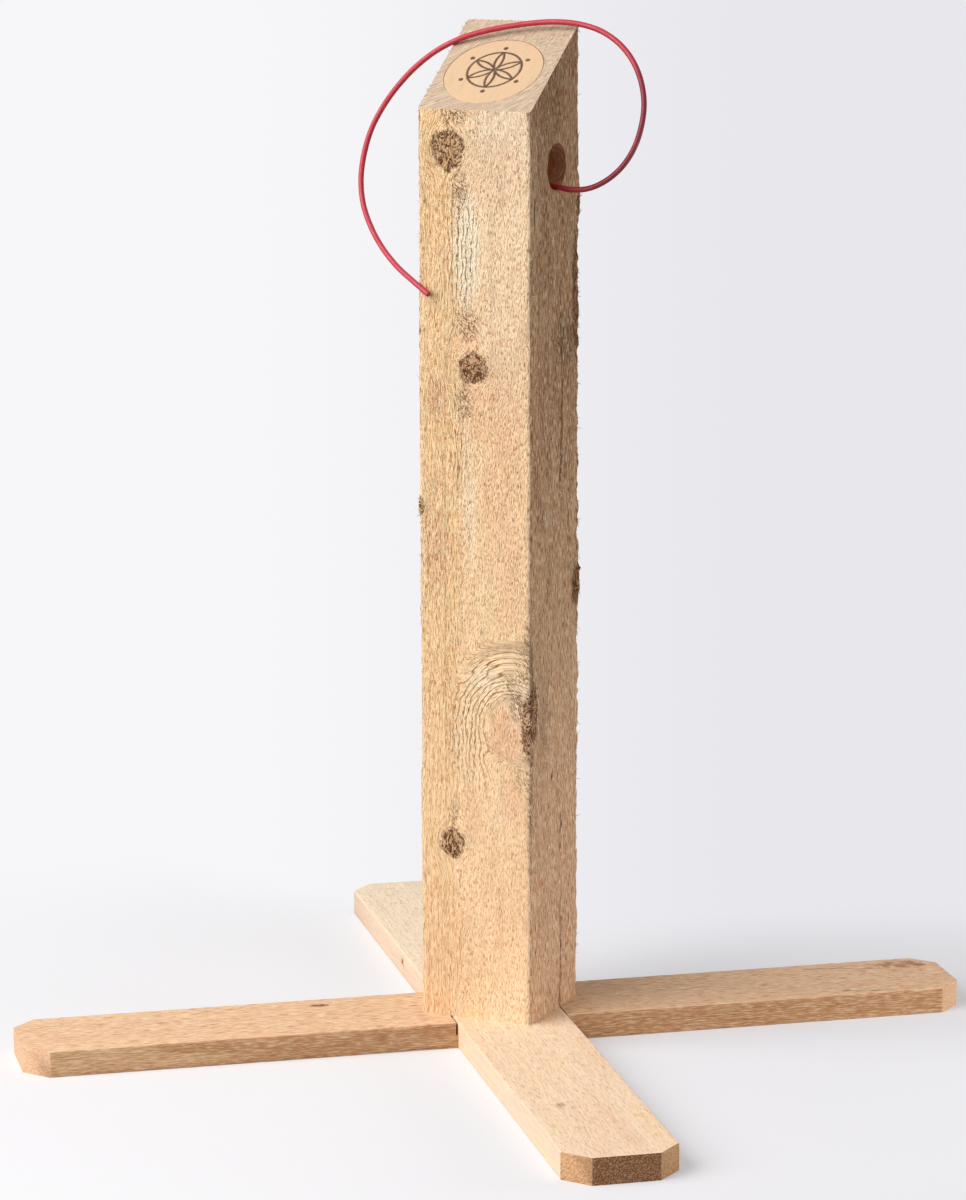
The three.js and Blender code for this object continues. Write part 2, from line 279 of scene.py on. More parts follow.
def smooth(value, low, high):
    """A smooth step from 0 at low to 1 at high, which may lie on either side of low."""
    share = np.clip((value - low) / (high - low), 0, 1)
    return share * share * (3 - 2 * share)


def blend(base, over, share):
    """Arrays of colours blended by an array of shares."""
    return base + (np.asarray(over) - base) * share[:, None]


def line_distance(across, along, corners):
    """Distance in millimetres from each point of a face to a line through the given corners."""
    point = np.stack([across, along], axis=1)
    nearest = np.full(len(across), 1e6)
    for start, end in zip(corners, corners[1:]):
        start, run = np.array(start, float), np.array(end, float) - np.array(start, float)
        share = np.clip((point - start) @ run / (run @ run), 0, 1)
        nearest = np.minimum(nearest, np.linalg.norm(point - start - share[:, None] * run, axis=1))
    return nearest


# ---------------------------------------------------------------- meshes


def new_object(name, mesh):
    """Links a new object that holds the mesh."""
    piece = bpy.data.objects.new(name, mesh)
    bpy.context.scene.collection.objects.link(piece)
    return piece


def mesh_from(name, points, faces):
    """A mesh from points in metres and faces."""
    mesh = bpy.data.meshes.new(name)
    mesh.from_pydata(np.asarray(points).tolist(), [], [list(face) for face in faces])
    mesh.validate()
    return mesh


def points_of(mesh):
    """The mesh's points as an array, in metres."""
    flat = np.zeros(len(mesh.vertices) * 3, np.float32)
    mesh.vertices.foreach_get("co", flat)
    return flat.reshape(-1, 3).astype(float)


def set_points(mesh, points):
    """Puts the points back into the mesh."""
    mesh.vertices.foreach_set("co", np.asarray(points, np.float32).ravel())
    mesh.update()


def store(mesh, name, values, kind="FLOAT_VECTOR", domain="POINT"):
    """Stores values for the points or the face corners under a name that materials can read."""
    attribute = mesh.attributes.new(name, kind, domain)
    field = {"FLOAT": "value", "FLOAT_VECTOR": "vector"}[kind]
    attribute.data.foreach_set(field, np.asarray(values, np.float32).ravel())


def corners_of(mesh):
    """For each face corner: the index of its point, and its face's normal and middle."""
    index = np.zeros(len(mesh.loops), np.int32)
    mesh.loops.foreach_get("vertex_index", index)
    sizes = np.zeros(len(mesh.polygons), np.int32)
    mesh.polygons.foreach_get("loop_total", sizes)
    normals = np.zeros(len(mesh.polygons) * 3, np.float32)
    mesh.polygons.foreach_get("normal", normals)
    middles = np.zeros(len(mesh.polygons) * 3, np.float32)
    mesh.polygons.foreach_get("center", middles)
    spread = [np.repeat(flat.reshape(-1, 3).astype(float), sizes, axis=0)
              for flat in (normals, middles)]
    return index, *spread


def timber_mesh(name, half_a, half_b, radius, step, foot, head, along_step):
    """A squared timber with rounded long edges, meshed finely enough to be shaped.

    Its section lies in its own XY plane, half_a by half_b from the middle, and it runs along
    +Z from foot to head, which are functions of the place in the section. All in millimetres.
    """
    flats_a = max(2, round(2 * half_a / step))
    flats_b = max(2, round(2 * half_b / step))
    loop = []
    corners = [(-1, -1), (1, -1), (1, 1), (-1, 1)]
    for index, (side_a, side_b) in enumerate(corners):
        centre = np.array([side_a * (half_a - radius), side_b * (half_b - radius)])
        heading = math.atan2(side_b, side_a)
        late = centre + radius * np.array([math.cos(heading + math.pi / 4),
                                           math.sin(heading + math.pi / 4)])
        next_a, next_b = corners[(index + 1) % 4]
        next_centre = np.array([next_a * (half_a - radius), next_b * (half_b - radius)])
        next_heading = math.atan2(next_b, next_a) - math.pi / 4
        early = next_centre + radius * np.array([math.cos(next_heading), math.sin(next_heading)])
        loop.append(centre + radius * np.array([math.cos(heading), math.sin(heading)]))
        flats = flats_a if index % 2 == 0 else flats_b
        loop.extend(late + (early - late) * share for share in np.linspace(0, 1, flats + 1))
    loop = np.array(loop)
    wide, deep = flats_a + 2, flats_b + 2
    columns = len(loop)
    low, high = foot(loop[:, 0], loop[:, 1]), head(loop[:, 0], loop[:, 1])
    rows = max(1, round(float(np.max(high - low)) / along_step))
    shares = np.linspace(0, 1, rows + 1)[:, None]
    heights = low + (high - low) * shares
    points = [np.stack([np.tile(loop[:, 0], rows + 1), np.tile(loop[:, 1], rows + 1),
                        heights.ravel()], axis=1)]
    faces = []
    for row in range(rows):
        for column in range(columns):
            after = (column + 1) % columns
            here, above = row * columns, (row + 1) * columns
            faces.append((here + column, here + after, above + after, above + column))

    # Each end is a grid whose rim is the timber's own rim.
    front, right = loop[:wide + 1], loop[wide:wide + deep + 1]
    back = loop[wide + deep:2 * wide + deep + 1][::-1]
    left = np.vstack([loop[2 * wide + deep:], loop[:1]])[::-1]
    u = np.linspace(0, 1, wide + 1)[None, :, None]
    v = np.linspace(0, 1, deep + 1)[:, None, None]
    corner_blend = ((1 - u) * (1 - v) * front[0] + u * (1 - v) * front[-1]
                    + (1 - u) * v * back[0] + u * v * back[-1])
    grid = (1 - v) * front[None] + v * back[None] + (1 - u) * left[:, None] \
        + u * right[:, None] - corner_blend
    rim = np.full((deep + 1, wide + 1), -1)
    rim[0] = np.arange(wide + 1)
    rim[:, -1] = wide + np.arange(deep + 1)
    rim[-1] = (wide + deep + np.arange(wide + 1))[::-1]
    rim[:, 0] = ((2 * wide + deep + np.arange(deep + 1)) % columns)[::-1]
    count = (rows + 1) * columns
    for end, offset, flip in ((foot, 0, True), (head, rows * columns, False)):
        inner = grid[1:-1, 1:-1].reshape(-1, 2)
        points.append(np.column_stack([inner, end(inner[:, 0], inner[:, 1])]))
        index = rim + offset
        index[1:-1, 1:-1] = count + np.arange(len(inner)).reshape(deep - 1, wide - 1)
        count += len(inner)
        for row in range(deep):
            for column in range(wide):
                quad = (index[row, column], index[row, column + 1],
                        index[row + 1, column + 1], index[row + 1, column])
                faces.append(quad[::-1] if flip else quad)
    return mesh_from(name, np.vstack(points) * MM, faces)


def rod_mesh(radius, length, sides, place):
    """A closed cylinder along +Z from the origin, in millimetres, moved by the matrix."""
    angles = np.arange(sides) * 2 * math.pi / sides
    ring = np.stack([radius * np.cos(angles), radius * np.sin(angles)], axis=1)
    points = np.vstack([np.column_stack([ring, np.full(sides, height)]) for height in (0, length)])
    faces = [(i, (i + 1) % sides, sides + (i + 1) % sides, sides + i) for i in range(sides)]
    faces += [tuple(range(sides))[::-1], tuple(range(sides, 2 * sides))]
    mesh = mesh_from("cutter", points * MM, faces)
    mesh.transform(place)
    return mesh


def block_mesh(low, high):
    """A closed box between two corners, in millimetres."""
    points = [(x, y, z) for z in (low[2], high[2]) for y in (low[1], high[1])
              for x in (low[0], high[0])]
    faces = [(0, 2, 3, 1), (4, 5, 7, 6), (0, 1, 5, 4), (2, 6, 7, 3), (0, 4, 6, 2), (1, 3, 7, 5)]
    return mesh_from("cutter", np.array(points) * MM, faces)


def baked(piece):
    """The piece's mesh with its modifiers worked in."""
    graph = bpy.context.evaluated_depsgraph_get()
    return bpy.data.meshes.new_from_object(piece.evaluated_get(graph))


def carve(mesh, cutters):
    """The mesh with the closed cutter meshes taken out of it."""
    piece = new_object("carving", mesh)
    tools = [new_object("cutter", cutter) for cutter in cutters]
    for tool in tools:
        modifier = piece.modifiers.new("cut", "BOOLEAN")
        modifier.operation = "DIFFERENCE"
        modifier.solver = "MANIFOLD"
        modifier.object = tool
    result = baked(piece)
    for helper in [piece, *tools]:
        bpy.data.objects.remove(helper)
    return result


def sharpen(mesh, angle):
    """Shades the mesh smooth, but for edges that bend more than the angle."""
    mesh.shade_smooth()
    mesh.set_sharp_from_angle(angle=angle)


# ---------------------------------------------------------------- building node trees


class NodeMaker:
    """Adds nodes to one tree and wires them up."""

    def __init__(self, tree):
        self.tree = tree

    def add(self, kind, inputs=None, **settings):
        """A new node with its settings and its inputs, which are values or other sockets."""
        node = self.tree.nodes.new(kind)
        for key, value in settings.items():
            setattr(node, key, value)
        for key, value in (inputs or {}).items():
            if isinstance(value, bpy.types.NodeSocket):
                self.tree.links.new(value, node.inputs[key])
            else:
                node.inputs[key].default_value = value
        return node

    def math(self, operation, *values, clamp=False):
        """The result of a math node."""
        return self.add("ShaderNodeMath", dict(enumerate(values)),
                        operation=operation, use_clamp=clamp).outputs[0]

    def times(self, product, *others):
        """The product of any count of values."""
        for other in others:
            product = self.math("MULTIPLY", product, other)
        return product

    def ramp(self, value, low, high, to_low=0.0, to_high=1.0):
        """The value taken smoothly from one range to another."""
        inputs = {"Value": value, "From Min": low, "From Max": high,
                  "To Min": to_low, "To Max": to_high}
        return self.add("ShaderNodeMapRange", inputs,
                        interpolation_type="SMOOTHSTEP").outputs["Result"]

    def band(self, value, start, full, fading, end):
        """1 where the value is from full to fading, and smoothly 0 by start and by end."""
        return self.times(self.ramp(value, start, full), self.ramp(value, end, fading))

    def mix(self, share, first, second, mode="MIX"):
        """Two colours blended by a share."""
        first, second = (value if isinstance(value, bpy.types.NodeSocket) else (*value, 1)
                         for value in (first, second))
        return self.add("ShaderNodeMix", {0: share, 6: first, 7: second},
                        data_type="RGBA", blend_type=mode).outputs[2]

    def noise(self, vector, scale, detail=2.0, roughness=0.5, distortion=0.0):
        """A noise texture's value."""
        inputs = {"Vector": vector, "Scale": scale, "Detail": detail,
                  "Roughness": roughness, "Distortion": distortion}
        return self.add("ShaderNodeTexNoise", inputs).outputs["Fac"]

    def streaks(self, across, along, cell_across, cell_along, seed, detail=2.0, roughness=0.5,
                distortion=0.0):
        """Noise whose cells have the given size in millimetres across and along the grain."""
        place = self.vector(self.math("DIVIDE", across, cell_across),
                            self.math("DIVIDE", along, cell_along), seed)
        return self.noise(place, 1.0, detail, roughness, distortion)

    def attribute(self, name, output="Vector"):
        """A named attribute's vector, or its single value if the output is Fac."""
        return self.add("ShaderNodeAttribute", attribute_name=name).outputs[output]

    def parts(self, vector):
        """A vector's three numbers."""
        return self.add("ShaderNodeSeparateXYZ", {"Vector": vector}).outputs

    def vector(self, x, y, z):
        """A vector from three numbers."""
        return self.add("ShaderNodeCombineXYZ", {"X": x, "Y": y, "Z": z}).outputs["Vector"]


def new_material(name):
    """An empty material and a maker for its nodes."""
    material = bpy.data.materials.new(name)
    material.use_nodes = True
    material.node_tree.nodes.clear()
    return material, NodeMaker(material.node_tree)


def surface(maker, inputs):
    """Ends the material's tree with a Principled shader."""
    shader = maker.add("ShaderNodeBsdfPrincipled", inputs)
    maker.add("ShaderNodeOutputMaterial", {"Surface": shader.outputs["BSDF"]})


def new_group(name, takes, gives):
    """A shader group with named inputs and outputs, its maker and its inputs' sockets."""
    tree = bpy.data.node_groups.new(name, "ShaderNodeTree")
    for socket, kind, default in takes:
        made = tree.interface.new_socket(socket, in_out="INPUT", socket_type=kind)
        if default is not None:
            made.default_value = default
    for socket, kind in gives:
        tree.interface.new_socket(socket, in_out="OUTPUT", socket_type=kind)
    maker = NodeMaker(tree)
    return tree, maker, maker.add("NodeGroupInput").outputs


# Each of these darkens the wood's own colour by being multiplied over it.
BROAD_STREAK = (0.72, 0.5, 0.34)
FINE_STREAK = (0.62, 0.45, 0.3)
RING_SHADE = (0.28, 0.2, 0.12)
TICK_SHADE = (0.5, 0.33, 0.2)
TICK_LENGTH = 3.8  # in widths of a tick


def sawn_wood_group():
    """The grain that all the wood shares: rings, torn fibres, fur on knots, and cracks.

    Flow holds the distance across the grain, the distance along it and the distance across
    the growth rings. Place holds how far round the timber and how far along it a spot is, and
    how strongly the grain shows there. Marks holds the strength of the rings, of the fur, and
    the distance to the nearest crack. All are stored on the mesh, with lengths in millimetres.
    """
    takes = [("Tone", "NodeSocketColor", None), ("Flow", "NodeSocketVector", None),
             ("Place", "NodeSocketVector", None), ("Marks", "NodeSocketVector", None),
             ("Ring Spacing", "NodeSocketFloat", 3.6), ("Tick Width", "NodeSocketFloat", 1.1),
             ("Knot Colour", "NodeSocketColor", None), ("Heart Colour", "NodeSocketColor", None),
             ("Pale Colour", "NodeSocketColor", None), ("Crack Colour", "NodeSocketColor", None),
             ("Crack Width", "NodeSocketFloat", 0.5)]
    gives = [("Color", "NodeSocketColor"), ("Roughness", "NodeSocketFloat"),
             ("Height", "NodeSocketFloat")]
    tree, maker, given = new_group("Sawn Wood", takes, gives)
    across, along, ring_place = maker.parts(given["Flow"])
    rings, fur, crack = maker.parts(given["Marks"])
    round_it, _, amount = maker.parts(given["Place"])
    width, pale_colour = given["Tick Width"], given["Pale Colour"]

    # Broad and fine streaks along the grain.
    wide = maker.streaks(across, along, 6.0, 70.0, 0.0, 3.0, 0.6)
    fine = maker.streaks(across, along, 1.2, 8.0, 3.0, 2.0, 0.6)
    half_pale = maker.mix(0.5, given["Tone"], pale_colour)
    tone = maker.mix(maker.ramp(wide, 0.35, 0.7, 0.0, 0.2), given["Tone"], BROAD_STREAK,
                     "MULTIPLY")
    streak = maker.times(amount, 0.42, maker.ramp(fine, 0.48, 0.66))
    tone = maker.mix(streak, tone, FINE_STREAK, "MULTIPLY")
    tone = maker.mix(maker.ramp(fine, 0.48, 0.3, 0.0, 0.5), tone, half_pale)

    # Torn fibre leaves short ticks, in a noise that is bent a little.
    bend = maker.streaks(across, along, 14.0, 20.0, 9.0)
    warped = maker.math("MULTIPLY_ADD", bend, 5.0, across)
    tick = maker.streaks(warped, along, width, maker.times(width, TICK_LENGTH), 7.0,
                         2.0, 0.55, 0.3)
    tick_lean = maker.math("SUBTRACT", tick, 0.5)

    # Growth rings: thin dark lines at uneven spacing, each beside a pale ridge.
    wander = maker.streaks(across, along, 13.0, 60.0, 1.0)
    waver = maker.streaks(across, along, 9.0, 16.0, 2.0)
    count = maker.math("DIVIDE", ring_place, given["Ring Spacing"])
    count = maker.math("MULTIPLY_ADD", wander, 1.8, count)
    count = maker.math("MULTIPLY_ADD", waver, 2.6, count)
    phase = maker.math("MULTIPLY_ADD", tick_lean, 0.5, maker.math("FRACT", count))
    broken = maker.ramp(maker.streaks(across, along, 2.2, 24.0, 5.0), 0.7, 0.5, 0.3, 1.0)
    ring = maker.times(maker.band(phase, 0.62, 0.8, 0.87, 0.98), rings, broken)
    ridge = maker.times(maker.band(phase, 0.05, 0.25, 0.35, 0.58), rings, 0.34)
    tone = maker.mix(ridge, tone, pale_colour)
    tone = maker.mix(maker.times(ring, 0.95), tone, RING_SHADE, "MULTIPLY")

    # The ticks are dark where they leave a pit and pale where they catch the light.
    patchy = maker.ramp(maker.streaks(across, along, 9.0, 30.0, 11.0), 0.3, 0.65, 0.5, 1.0)
    dark = maker.times(amount, patchy, maker.ramp(tick, 0.54, 0.66))
    dark = maker.math("MULTIPLY", dark, 0.82, clamp=True)
    tone = maker.mix(dark, tone, TICK_SHADE, "MULTIPLY")
    pale = maker.times(maker.ramp(tick, 0.47, 0.4), amount)
    pale = maker.math("MULTIPLY", pale, 0.65, clamp=True)
    tone = maker.mix(pale, tone, maker.mix(0.75, given["Tone"], pale_colour))

    # Fur on and round the knots, where the saw tore the crossing fibres every way: its strands
    # follow the contours of a noise, so that they curl and run side by side. Away from the
    # knots they are strokes that slant down to the right.
    tangle = maker.streaks(round_it, along, 2.3, 3.2, 13.0, 2.5, 0.6, 1.3)
    tuft = maker.streaks(round_it, along, 1.7, 2.8, 17.0, 1.5, 0.5, 1.2)
    curl = maker.streaks(round_it, along, 5.0, 6.5, 23.0, 1.0, 0.5, 0.9)
    falling = maker.vector(maker.times(maker.math("ADD", round_it, along), 0.28),
                           maker.times(maker.math("SUBTRACT", along, round_it), 0.07), 27.0)
    stroke = maker.noise(falling, 1.0, 1.0, 0.5, 0.5)
    deep = maker.ramp(fur, 0.5, 0.9)
    curl = maker.math("MULTIPLY_ADD", maker.math("SUBTRACT", curl, stroke), deep, stroke)
    strand = maker.math("MULTIPLY_ADD", curl, 4.2, maker.times(tuft, 0.9))
    strand = maker.math("FRACT", strand)
    tangle_lean = maker.math("SUBTRACT", tangle, 0.5)
    hairy = maker.ramp(maker.math("ADD", fur, maker.times(tangle_lean, 1.6)), 0.3, 0.7)
    browning = maker.times(hairy, maker.math("MULTIPLY_ADD", deep, 0.42, 0.3))
    tone = maker.mix(browning, tone, given["Knot Colour"])
    lit = maker.times(maker.ramp(fur, 0.06, 0.35), maker.ramp(tangle, 0.66, 0.5, 0.25, 1.0),
                      maker.band(strand, 0.02, 0.12, 0.36, 0.5))
    strand_tone = maker.mix(maker.math("MULTIPLY_ADD", deep, 0.35, 0.15), half_pale,
                            given["Knot Colour"])
    tone = maker.mix(maker.times(lit, 0.75), tone, strand_tone)
    hollow = maker.times(maker.ramp(fur, 0.1, 0.6), maker.ramp(tangle, 0.36, 0.5, 0.2, 1.0),
                         maker.band(strand, 0.52, 0.66, 0.88, 1.0))
    pit_tone = maker.mix(maker.math("MULTIPLY_ADD", deep, 0.45, 0.55), given["Knot Colour"],
                         given["Heart Colour"])
    tone = maker.mix(maker.times(hollow, 0.92), tone, pit_tone)
    rim = maker.band(fur, 0.5, 0.68, 0.78, 0.92)
    tone = maker.mix(maker.times(rim, 0.3), tone, given["Heart Colour"])

    # Cracks, with ragged lips and gaps where they close.
    gap = maker.math("MULTIPLY_ADD", tangle_lean, 1.1, crack)
    close = maker.ramp(maker.streaks(across, along, 30.0, 14.0, 19.0), 0.36, 0.46)
    open_crack = maker.times(maker.math("LESS_THAN", gap, given["Crack Width"]), close)
    tone = maker.mix(maker.ramp(gap, 2.2, 0.2, 0.0, 0.3), tone, given["Crack Colour"])
    tone = maker.mix(maker.times(open_crack, 0.9), tone, given["Crack Colour"])

    # Every dark mark is also a hollow.
    height = maker.times(amount, -1.6, tick)
    for mark, depth in ((fine, -0.6), (ring, -0.8), (maker.times(tangle, fur), -1.6),
                        (hollow, -0.9), (open_crack, -1.5)):
        height = maker.math("MULTIPLY_ADD", mark, depth, height)
    rough = maker.ramp(fine, 0.2, 0.8, 0.74, 0.94)
    maker.add("NodeGroupOutput", {"Color": tone, "Roughness": rough, "Height": height})
    return tree


def wood_material(name, settings, tick_width, crack_width, bump):
    """Bare wood that follows the flow, marks and tone stored on its mesh."""
    material, maker = new_material(name)
    group = bpy.data.node_groups.get("Sawn Wood") or sawn_wood_group()
    wood = maker.add("ShaderNodeGroup", {
        "Tone": maker.attribute("tone"), "Flow": maker.attribute("flow"),
        "Place": maker.attribute("place"), "Marks": maker.attribute("marks"),
        "Tick Width": tick_width,
        "Knot Colour": (*settings.knot, 1), "Heart Colour": (*settings.heart, 1),
        "Pale Colour": (*settings.pale, 1), "Crack Colour": (*settings.crack, 1),
        "Crack Width": crack_width,
    }, node_tree=group)
    relief = maker.add("ShaderNodeBump", {"Height": wood.outputs["Height"], "Strength": 1.0,
                                          "Distance": bump})
    surface(maker, {"Base Color": wood.outputs["Color"], "Roughness": wood.outputs["Roughness"],
                    "Normal": relief.outputs["Normal"], "Specular IOR Level": 0.25})
    return material


# ---------------------------------------------------------------- the faces of the timbers

Knot = namedtuple("Knot", "face across height half_width half_height fur bulge")
Crack = namedtuple("Crack", "face corners")
Patch = namedtuple("Patch", "face across height half_width half_height strength")
Tint = namedtuple("Tint", "colour share face across height half_width half_height")

# Knots on the post, each placed across and up its own face as seen from outside.
POST_KNOTS = [
    Knot("front", -21, 656, 13, 15, 0.95, 0.5),
    Knot("front", -0.6, 496.5, 11, 11.5, 1.0, 0.6),
    Knot("front", -45.5, 391, 5, 9, 0.9, 1.4),
    Knot("front", -18.5, 135, 10, 11.5, 0.9, 0.4),
    Knot("right", 45, 325, 6, 16, 0.9, 2.2),
    Knot("right", 44, 608, 6, 12, 0.8, 1.2),
    Knot("back", 14, 588, 9, 11, 0.9, 0.4),
    Knot("back", -24, 305, 13, 17, 0.8, 0.5),
    Knot("back", 22, 118, 7, 8, 0.9, 0.3),
    Knot("left", -12, 566, 10, 12, 0.9, 0.5),
    Knot("left", 20, 246, 8, 10, 0.8, 0.4),
]
POST_CRACKS = [
    Crack("right", [(11, 531), (13, 505), (14.5, 470), (13, 440), (11, 406)]),
    Crack("right", [(13, 152), (12, 124)]),
    Crack("right", [(12, 84), (14, 50), (12, 0)]),
    Crack("right", [(-38, 604), (-36, 622)]),
    Crack("back", [(-6, 0), (-4, 70), (-7, 150), (-5, 235)]),
    Crack("left", [(8, 640), (6, 560), (9, 470), (7, 400)]),
]

# Where the growth rings show as dark lines.
RING_PATCHES = [
    Patch("front", -10, 582, 18, 66, 1.0),
    Patch("front", -20, 545, 14, 50, 0.5),
    Patch("front", -12, 622, 12, 30, 0.9),
    Patch("front", -12, 466, 9, 22, 0.9),
    Patch("front", -14, 425, 12, 42, 0.8),
    Patch("right", -25, 240, 24, 50, 0.9),
    Patch("right", -10, 190, 12, 40, 0.5),
    Patch("back", 14, 560, 24, 60, 0.8),
    Patch("back", -24, 270, 20, 60, 0.8),
    Patch("left", -10, 530, 20, 60, 0.8),
]

# Where the wood is furry away from the knots.
FUR_PATCHES = [
    Patch("front", -4, 528, 13, 20, 0.47),
    Patch("front", -11, 531, 7, 12, 0.35),
    Patch("front", -12, 627, 12, 26, 0.42),
    Patch("front", -17, 682, 17, 15, 0.52),
    Patch("front", -8, 470, 11, 22, 0.45),
    Patch("front", -33, 408, 14, 12, 0.3),
    Patch("front", 40, 275, 12, 28, 0.42),
    Patch("front", 30, 262, 16, 14, 0.38),
    Patch("front", 36, 246, 12, 20, 0.5),
    Patch("front", 43, 230, 7, 34, 1.0),
    Patch("front", 43, 296, 5, 20, 0.5),
    Patch("front", 38, 190, 9, 22, 0.36),
    Patch("front", -17, 158, 6, 14, 0.4),
    Patch("right", -40, 240, 10, 32, 1.1),
    Patch("right", -44, 190, 6, 130, 0.4),
    Patch("right", -18, 212, 6, 14, 0.4),
    Patch("right", -5, 184, 3, 6, 0.7),
    Patch("right", 40, 545, 12, 78, 0.85),
    Patch("right", 43, 400, 8, 260, 0.42),
    Patch("right", 40, 322, 12, 26, 0.8),
    Patch("back", 20, 420, 14, 60, 0.3),
]

# Local colours of the post: each names a colour setting, how much of it is laid over the wood
# and the soft oval that it fills. Later ones lie over earlier ones.
TOP_TINTS = [
    Tint("cream", 0.9, "front", 22, 680, 40, 80),
    Tint("cream", 0.5, "front", 25, 560, 30, 120),
    Tint("rose", 0.35, "front", 22, 640, 22, 40),
    Tint("honey", 0.7, "front", -30, 630, 18, 26),
    Tint("ash", 1.0, "front", -6, 584, 15, 56),
]
FRONT_TINTS = [
    Tint("rose", 0.8, "front", 26, 222, 20, 30),
    Tint("cream", 0.6, "front", 37, 248, 13, 24),
    Tint("rose", 0.5, "front", -10, 520, 12, 20),
    Tint("rose", 0.45, "front", 5, 470, 24, 40),
    Tint("cream", 0.6, "front", -4, 400, 6, 70),
    Tint("rose", 0.6, "front", -30, 470, 12, 24),
    Tint("rose", 0.6, "front", -32, 355, 14, 40),
    Tint("rose", 0.6, "front", 30, 175, 12, 24),
    Tint("ash", 0.4, "front", 8, 262, 18, 14),
]
RIGHT_TINTS = [
    Tint("knot", 0.55, "right", 22, 514, 30, 22),
    Tint("knot", 0.5, "right", 30, 490, 14, 40),
    Tint("knot", 0.7, "right", -10, 705, 40, 60),
    Tint("straw", 0.3, "right", -36, 560, 12, 130),
]
ASH_GLEAM = ("front", -6, 584, 18, 60)
SMUDGE = ("right", 22, 512, 34, 26)
FACES = ("front", "right", "back", "left")


class Section:
    """The outline of a timber, unrolled into a strip that starts at its front left corner."""

    def __init__(self, half_a, half_b):
        self.half_a, self.half_b = half_a, half_b
        sides = [2 * half_a, 2 * half_b, 2 * half_a, 2 * half_b]
        self.round = sum(sides)
        self.corners = np.cumsum([0, *sides[:3]])
        self.middles = dict(zip(FACES, self.corners + np.array(sides) / 2))

    def unroll(self, a, b, front_or_back, is_front, is_right):
        """How far round the outline each place lies, if it is on the side that is given."""
        return np.where(
            front_or_back,
            np.where(is_front, self.middles["front"] + a, self.middles["back"] - a),
            np.where(is_right, self.middles["right"] + b, self.middles["left"] - b))

    def strip(self, a, b):
        """How far round the outline each place of the section lies, in millimetres."""
        over_a, over_b = np.abs(a) - self.half_a, np.abs(b) - self.half_b
        return self.unroll(a, b, over_b > over_a, b < 0, a > 0)

    def strip_by_face(self, a, b, normal_a, normal_b):
        """The same for face corners, which all lie on the side that their face looks to."""
        front_or_back = np.abs(normal_b) >= np.abs(normal_a)
        return self.unroll(a, b, front_or_back, normal_b < 0, normal_a > 0)

    def wrapped(self, apart):
        """The shorter way round for a distance round the outline."""
        return (apart + self.round / 2) % self.round - self.round / 2

    def from_place(self, strip, face, across):
        """Signed distance round the outline from a place on a face."""
        return self.wrapped(strip - (self.middles[face] + across))

    def from_corner(self, strip):
        """Distance to the nearest of the four corners."""
        return np.abs(self.wrapped(strip[:, None] - self.corners)).min(axis=1)

    def oval(self, strip, along, face, across, height, half_width, half_height):
        """Distance from the middle of an oval on a face, which is 1 at the oval's rim."""
        apart = self.from_place(strip, face, across)
        return np.hypot(apart / half_width, (along - height) / half_height)

    def outward(self, a, b, radius):
        """Which way is out at each place on the outline."""
        core_a = np.clip(a, radius - self.half_a, self.half_a - radius)
        core_b = np.clip(b, radius - self.half_b, self.half_b - radius)
        out = np.stack([a - core_a, b - core_b], axis=1)
        return out / np.maximum(np.linalg.norm(out, axis=1), 1e-6)[:, None]

    def is_outer(self, a, b):
        """Whether each place is on the outline, and not inside a hole or on an end."""
        corner_depth = 0.45
        return np.maximum(np.abs(a) - self.half_a, np.abs(b) - self.half_b) > -corner_depth


def grain_flow(section, strip, along, knots):
    """Lines of grain that part round the knots: across, along, and across the growth rings."""
    across = strip.copy()
    for knot in knots:
        apart = section.from_place(strip, knot.face, knot.across)
        radii = section.oval(strip, along, *knot[:5])
        across -= apart * np.minimum(radii, 1 / np.maximum(radii, 1)) ** 2
    return np.stack([across, along, across], axis=1)


def fur_on(section, strip, along, knots):
    """How furry the wood is on the knots, whose outlines are ragged."""
    fur = np.zeros(len(strip))
    ragged = 0.11 * strip_noise(strip, along, 4.5, 5.5, 91, octaves=2)
    for knot in knots:
        radii = section.oval(strip, along, *knot[:5]) + ragged
        fur = np.maximum(fur, knot.fur * smooth(radii, 1.35, 0.75))
    return fur


def crack_distance(section, strip, along, cracks):
    """Distance to the nearest crack."""
    nearest = np.full(len(strip), NO_CRACK)
    for crack in cracks:
        across = section.from_place(strip, crack.face, 0)
        nearest = np.minimum(nearest, line_distance(across, along, crack.corners))
    return nearest


def patch(section, strip, along, *oval):
    """A soft oval on a face: 1 in its middle and 0 outside."""
    return smooth(section.oval(strip, along, *oval), 1.1, 0.3)


def strongest(section, strip, along, patches):
    """The strength of the strongest patch at each place."""
    share = np.zeros(len(strip))
    for spot in patches:
        share = np.maximum(share, spot.strength * patch(section, strip, along, *spot[:5]))
    return share


def store_grain(mesh, flow, place, marks, tone):
    """Stores on the mesh's face corners what the wood's material reads."""
    for name, values in (("flow", flow), ("place", place), ("marks", marks), ("tone", tone)):
        store(mesh, name, values, domain="CORNER")


# ---------------------------------------------------------------- the post

POST_SECTION = Section(POST_HALF, POST_HALF)

# The line on the front face where straight honey-coloured grain meets the paler wood.
GRAIN_LINE = [
    (-14, 745), (-15, 600), (-12, 560), (-14, 480), (-14.3, 452), (-8.8, 432), (-10.7, 415),
    (-13.9, 398), (-12.7, 381), (-9.7, 346), (-7.5, 336), (-11, 323), (-9.8, 307),
    (-13.7, 272), (-17.5, 225), (-15.2, 190), (-12.7, 166), (-18, 135), (-16.5, 100),
    (-9.4, 74), (-9.5, 44), (-15.3, 17), (-21, 0),
]

# The growth rings arch over the big swirl and run straight down beside it.
SWIRL = (31, 226)
SWIRL_STRETCH_UP = 1.2
SWIRL_STRETCH_DOWN = 3.0


